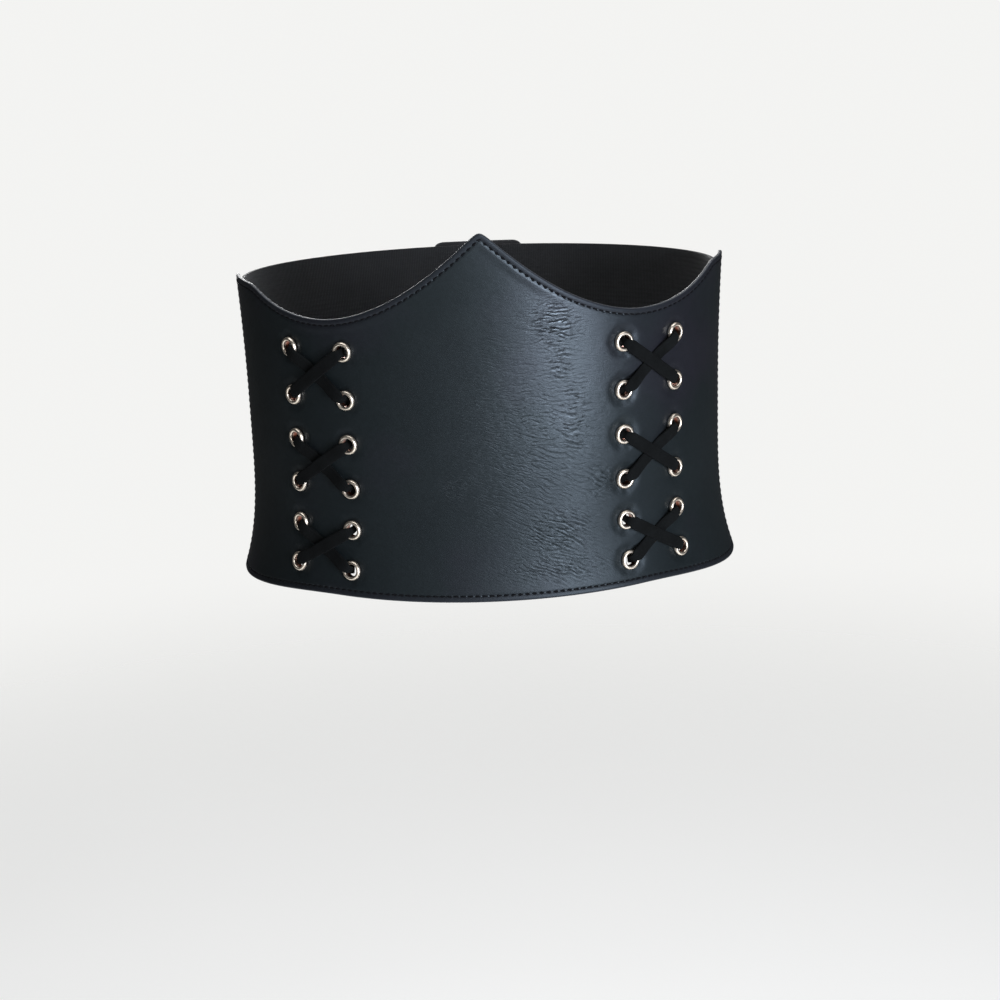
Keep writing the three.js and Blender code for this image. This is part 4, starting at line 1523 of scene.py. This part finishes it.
class BELT_OT_elastic(bpy.types.Operator):
    """Builds the two ribbed elastic halves of the back"""

    bl_idname = "corset_belt.elastic"
    bl_label = "Elastic Back"

    def execute(self, context):
        settings = context.scene.belt_elastic
        material = elastic_material("woven_elastic", settings)
        tree = rib_tree()
        start = PANEL_HALF - ELASTIC_TUCK
        end = HALF_WAIST - STRAP_HALF + ELASTIC_TUCK
        for name, sign in (("right", 1), ("left", -1)):
            piece = self.half(f"{name}_elastic", sign, start, end, settings, material)
            piece = run_tree(piece, tree, {
                "Rib Pitch": settings.rib_pitch, "Rib Depth": settings.rib_depth,
                "Material": material})
            finish_piece(piece, [f"elastic_{name}"])
        return {"FINISHED"}

    def half(self, name, sign, start, end, settings, material):
        step = settings.rib_pitch / RIB_STEPS
        rows = int(round((ELASTIC_TOP - ELASTIC_HEM) / step)) + 1
        heights = np.linspace(ELASTIC_HEM, ELASTIC_TOP, rows)
        lengths = np.sort(sign * np.linspace(start, end, ELASTIC_COLUMNS))
        grid_l, grid_h = np.meshgrid(lengths, heights, indexing="ij")
        plane = np.stack([grid_l.ravel(), grid_h.ravel()], 1)
        point, _, _, out = place_at(plane[:, 0], plane[:, 1])
        from_edge = np.minimum(plane[:, 1] - ELASTIC_HEM, ELASTIC_TOP - plane[:, 1])
        selvedge = SELVEDGE["height"] * np.exp(-(from_edge / SELVEDGE["width"]) ** 2)
        slow = ELASTIC_WAVE["height"] * ripple(plane, ELASTIC_WAVE["reach"], 2.2 + sign)
        shift = slow * smoothstep(0, ELASTIC_WAVE["start"], from_edge)
        away, strap_edge = np.abs(plane[:, 0]), end - ELASTIC_TUCK
        shown = smoothstep(PANEL_HALF, PANEL_HALF + COVER_FADE, away)
        shown = shown * (1 - smoothstep(strap_edge - COVER_FADE, strap_edge, away))
        outer = point - out * (ELASTIC_DEPTH - (selvedge + shift) * shown)[:, None]
        inner = point - out * (ELASTIC_DEPTH + ELASTIC + (selvedge - shift) * shown)[:, None]
        quads = grid_quads(len(lengths), rows)
        points, faces, _, used, rim = wall_mesh(outer, inner, quads, 0 * out, 0)
        piece = mesh_object(name, points, faces, [material])
        every = np.concatenate([used, used, used[rim]])
        side = np.repeat([1.0, -1.0, 0.0], [len(used), len(used), len(rim)])
        store(piece, "height", plane[every, 1])
        store(piece, "soft", smoothstep(1 * MM, 4 * MM, from_edge[every]))
        store(piece, "out", out[every] * side[:, None])
        store_plane(piece, "belt_plane", plane[every])
        return piece


def strap_inset(length):
    return corner_inset(STRAP_HALF - np.abs(length), STRAP_CORNER)


def strap_top(length):
    return ELASTIC_TOP + STRAP_OVERHANG - strap_inset(length)


def strap_hem(length):
    return ELASTIC_HEM - STRAP_OVERHANG + strap_inset(length)


def snap_heights():
    low, high = ELASTIC_HEM - STRAP_OVERHANG, ELASTIC_TOP + STRAP_OVERHANG
    return low + (high - low) * (np.arange(SNAP_COUNT) + 0.5) / SNAP_COUNT


# The strap's dimple round a snap, and the heights of its creases and slow waves
DIMPLE = {"depth": 0.25 * MM, "start": 5.5 * MM, "end": 10 * MM}
STRAP_CREASE = 0.06 * MM
STRAP_WAVE = 0.2 * MM


def strap_relief(plane, edge):
    """The strap's seam, rounded edge and slow waves, with a dimple round each snap."""
    away = np.min([
        np.hypot(plane[:, 0] - HALF_WAIST, plane[:, 1] - height) for height in snap_heights()
    ], axis=0)
    dimple = -DIMPLE["depth"] * (1 - smoothstep(DIMPLE["start"], DIMPLE["end"], away))
    inside = inside_band(edge)
    creases = ripple(turned(plane, 8), (12 * MM, 3.2 * MM), 6.1)
    slow = ripple(plane, (30 * MM, 42 * MM), 12.4)
    waves = STRAP_CREASE * creases + STRAP_WAVE * slow
    relief = edge_relief(edge, STRAP_EDGE) + dimple + inside * waves
    # ring places the painted shade under each snap cap
    return relief, {"crease": 0.35 * inside, "ring": away / MM + 1.2}


# The section of a snap's cap, from its middle out, in shares of its radius and its height
SNAP_PROFILE = [
    {"reach": 0, "rise": 1.0},
    {"reach": 0.2, "rise": 0.985},
    {"reach": 0.42, "rise": 0.93},
    {"reach": 0.6, "rise": 0.82},
    {"reach": 0.68, "rise": 0.72},
    {"reach": 0.74, "rise": 0.66},
    {"reach": 0.82, "rise": 0.66},
    {"reach": 0.92, "rise": 0.62},
    {"reach": 0.98, "rise": 0.45},
    {"reach": 1.0, "rise": 0.22},
    {"reach": 0.97, "rise": -0.1},
    {"reach": 0.6, "rise": -0.25},
]
SNAP_SIDES = 48

# Rows of points between the strap's edge bands
STRAP_ROWS = 112


class BELT_OT_strap(bpy.types.Operator):
    """Builds the back strap with its four snap caps"""

    bl_idname = "corset_belt.strap"
    bl_label = "Back Strap"

    def execute(self, context):
        settings = context.scene.belt_leather
        metal = context.scene.belt_metal
        middle = [{"at": 0, "half": 6 * MM}]
        inner = spaced(0, STRAP_HALF - EDGE_STEPS[-1], middle, 1.0 * MM, 1.4 * MM)
        half = np.concatenate([inner[:-1], STRAP_HALF - EDGE_STEPS[::-1]])
        columns = np.concatenate([-half[:0:-1], half])
        shares = np.linspace(0, 1, STRAP_ROWS)[1:-1]
        plane, rows = sheet_grid(columns, strap_top, strap_hem, shares)
        plane[:, 0] += HALF_WAIST
        materials = [
            leather_material("strap_face", settings),
            backing_material("strap_back", settings),
            cut_material("strap_cut", settings),
        ]
        piece = leather_sheet(
            "strap_leather", plane, grid_quads(len(columns), rows), strap_top, strap_hem,
            STRAP_HALF, HALF_WAIST, STRAP_DEPTH, STRAP,
            strap_relief, materials)
        finish_piece(piece, ["back_strap"])
        heights = snap_heights()
        point, _, _, out = place_at(np.full(SNAP_COUNT, HALF_WAIST), heights)
        caps = self.caps(point - out * STRAP_DEPTH, out, metal)
        finish_piece(caps)
        return {"FINISHED"}

    def caps(self, places, outs, metal):
        """Domed snap caps with a rolled rim, all in one mesh."""
        angles = np.arange(SNAP_SIDES) / SNAP_SIDES * 2 * math.pi
        rows = [(0, 0, SNAP_PROFILE[0]["rise"])]
        for step in SNAP_PROFILE[1:]:
            rows += [(step["reach"] * x, step["reach"] * y, step["rise"])
                     for x, y in zip(np.cos(angles), np.sin(angles))]
        rows.append((0, 0, SNAP_PROFILE[-1]["rise"]))
        cap = np.array(rows) * (metal.snap_radius, metal.snap_radius, metal.snap_crest)
        points, faces = [], []
        for place, out in zip(places, outs):
            turn = np.array(Vector(out).to_track_quat("Z", "X").to_matrix())
            faces += self.cap_faces(len(points))
            points += (place + cap @ turn.T).tolist()
        gold = gold_material("snap_plate", metal)
        return mesh_object("snap_caps", np.array(points), faces, [gold])

    def cap_faces(self, start):
        """One cap's faces, from the number of its first point."""
        rings = len(SNAP_PROFILE) - 1
        last = start + 1 + rings * SNAP_SIDES

        def at(ring, side):
            return start + 1 + ring * SNAP_SIDES + side % SNAP_SIDES

        faces = []
        for side in range(SNAP_SIDES):
            after = side + 1
            faces.append((start, at(0, side), at(0, after)))
            faces += [(at(ring, side), at(ring + 1, side), at(ring + 1, after), at(ring, after))
                      for ring in range(rings - 1)]
            faces.append((at(rings - 1, side), last, at(rings - 1, after)))
        return faces


# The camera, from the photograph's view
CAMERA = {"distance": 0.9, "elevation": 12.5, "azimuth": -0.232, "roll": -2.153, "pan": 0.41,
          "tilt": -3.909, "focal_pixels": 1674.3, "image_pixels": 1000, "sensor_mm": 36}


def camera_matrix():
    elevation, azimuth = math.radians(CAMERA["elevation"]), math.radians(CAMERA["azimuth"])
    roll, pan, tilt = (math.radians(CAMERA[key]) for key in ("roll", "pan", "tilt"))
    place = CAMERA["distance"] * Vector((
        math.sin(azimuth) * math.cos(elevation),
        -math.cos(azimuth) * math.cos(elevation),
        math.sin(elevation)))
    ahead = -place.normalized()
    right = ahead.cross(Vector((0, 0, 1))).normalized()
    up = right.cross(ahead)
    aim = ahead * math.cos(tilt) * math.cos(pan) + right * math.sin(pan) * math.cos(tilt)
    aim = aim + up * math.sin(tilt)
    level = aim.cross(up).normalized()
    above = level.cross(aim)
    side = level * math.cos(roll) + above * math.sin(roll)
    top = above * math.cos(roll) - level * math.sin(roll)
    matrix = Matrix((side, top, -aim)).transposed().to_4x4()
    matrix.translation = place
    return matrix


# The lights: where each stands, its width and height, and its spread in degrees
LIGHTS = [
    {"name": "key", "place": (0.75, -1.24, 0.0), "size": (0.32, 0.7), "spread": 180},
    {"name": "fill", "place": (-0.45, -1.38, 0.1), "size": (1.3, 0.9), "spread": 180},
    {"name": "front", "place": (0.40, -1.36, 0.30), "size": (0.6, 0.6), "spread": 180},
    {"name": "back", "place": (-0.30, 1.42, 0.30), "size": (0.5, 0.9), "spread": 60},
    {"name": "top", "place": (0, 0.3, 2.2), "size": (2.4, 2.4), "spread": 180},
]
STUDIO_WHITE = (1, 1, 0.985, 1)


class BELT_OT_stage(bpy.types.Operator):
    """Sets the camera, the pale floor and the soft lights"""

    bl_idname = "corset_belt.stage"
    bl_label = "Camera and Studio"

    def execute(self, context):
        settings = context.scene.belt_stage
        self.camera(context)
        self.floor(settings)
        self.world(context, settings)
        for row in LIGHTS:
            self.light(power=getattr(settings, f"{row['name']}_power"), **row)
        bpy.data.lights["key_light"].color = settings.key_color
        context.scene.view_settings.view_transform = "Standard"
        return {"FINISHED"}

    def camera(self, context):
        camera = bpy.data.objects.new("camera", bpy.data.cameras.new("camera"))
        context.scene.collection.objects.link(camera)
        camera.matrix_world = camera_matrix()
        share = CAMERA["focal_pixels"] / CAMERA["image_pixels"]
        camera.data.sensor_width = CAMERA["sensor_mm"]
        camera.data.lens = share * CAMERA["sensor_mm"]
        context.scene.camera = camera

    def floor(self, settings):
        """A round floor, wide enough to fade out before its rim."""
        sides = 96
        angles = np.arange(sides) / sides * 2 * math.pi
        reach = 1.1 * settings.floor_end
        level = np.full(sides, -settings.floor_drop)
        points = np.stack([reach * np.cos(angles), reach * np.sin(angles), level], 1)
        floor = mesh_object("studio_floor", points, [tuple(range(sides))],
                            [floor_material("studio_pale", settings)])

    def world(self, context, settings):
        world = bpy.data.worlds.new("studio_world")
        world.use_nodes = True
        tree = Tree(world.node_tree)
        background = world.node_tree.nodes["Background"]
        background.inputs["Color"].default_value = STUDIO_WHITE
        seen = tree.add("ShaderNodeLightPath").outputs["Is Camera Ray"]
        strength = tree.span(seen, 0.0, 1.0, settings.ambient_strength,
                             settings.backdrop_strength)
        tree.put(background.inputs["Strength"], strength)
        context.scene.world = world

    def light(self, name, place, size, spread, power):
        name = f"{name}_light"
        data = bpy.data.lights.new(name, "AREA")
        data.shape = "RECTANGLE"
        data.size, data.size_y = size
        data.energy = power
        data.spread = math.radians(spread)
        light = bpy.data.objects.new(name, data)
        bpy.context.scene.collection.objects.link(light)
        light.location = place
        light.rotation_euler = (-Vector(place)).to_track_quat("-Z", "Y").to_euler()
        light.visible_camera = False


OPERATORS = [BELT_OT_stage, BELT_OT_front, BELT_OT_stitches, BELT_OT_eyelets, BELT_OT_laces,
             BELT_OT_strap, BELT_OT_elastic]

SETTINGS = {
    "belt_leather": LeatherSettings,
    "belt_metal": MetalSettings,
    "belt_lace": LaceSettings,
    "belt_elastic": ElasticSettings,
    "belt_stage": StageSettings,
}


class BELT_PT_panel(bpy.types.Panel):
    """Lists the belt's settings and pieces in the 3D view's sidebar"""

    bl_idname = "BELT_PT_panel"
    bl_label = "Corset Belt"
    bl_space_type = "VIEW_3D"
    bl_region_type = "UI"
    bl_category = "Corset Belt"

    def draw(self, context):
        for name, group in SETTINGS.items():
            box = self.layout.box()
            for field in group.__annotations__:
                box.prop(getattr(context.scene, name), field)
        for operator in OPERATORS:
            self.layout.operator(operator.bl_idname)


def register():
    for group in SETTINGS.values():
        bpy.utils.register_class(group)
    for name, group in SETTINGS.items():
        setattr(bpy.types.Scene, name, bpy.props.PointerProperty(type=group))
    for operator in OPERATORS:
        bpy.utils.register_class(operator)
    bpy.utils.register_class(BELT_PT_panel)


def unregister():
    bpy.utils.unregister_class(BELT_PT_panel)
    for operator in reversed(OPERATORS):
        bpy.utils.unregister_class(operator)
    for name, group in SETTINGS.items():
        delattr(bpy.types.Scene, name)
        bpy.utils.unregister_class(group)


def main():
    register()
    bpy.ops.corset_belt.stage()
    bpy.ops.corset_belt.front()
    bpy.ops.corset_belt.stitches()
    bpy.ops.corset_belt.eyelets()
    bpy.ops.corset_belt.laces()
    bpy.ops.corset_belt.strap()
    bpy.ops.corset_belt.elastic()


if __name__ == "__main__":
    main()
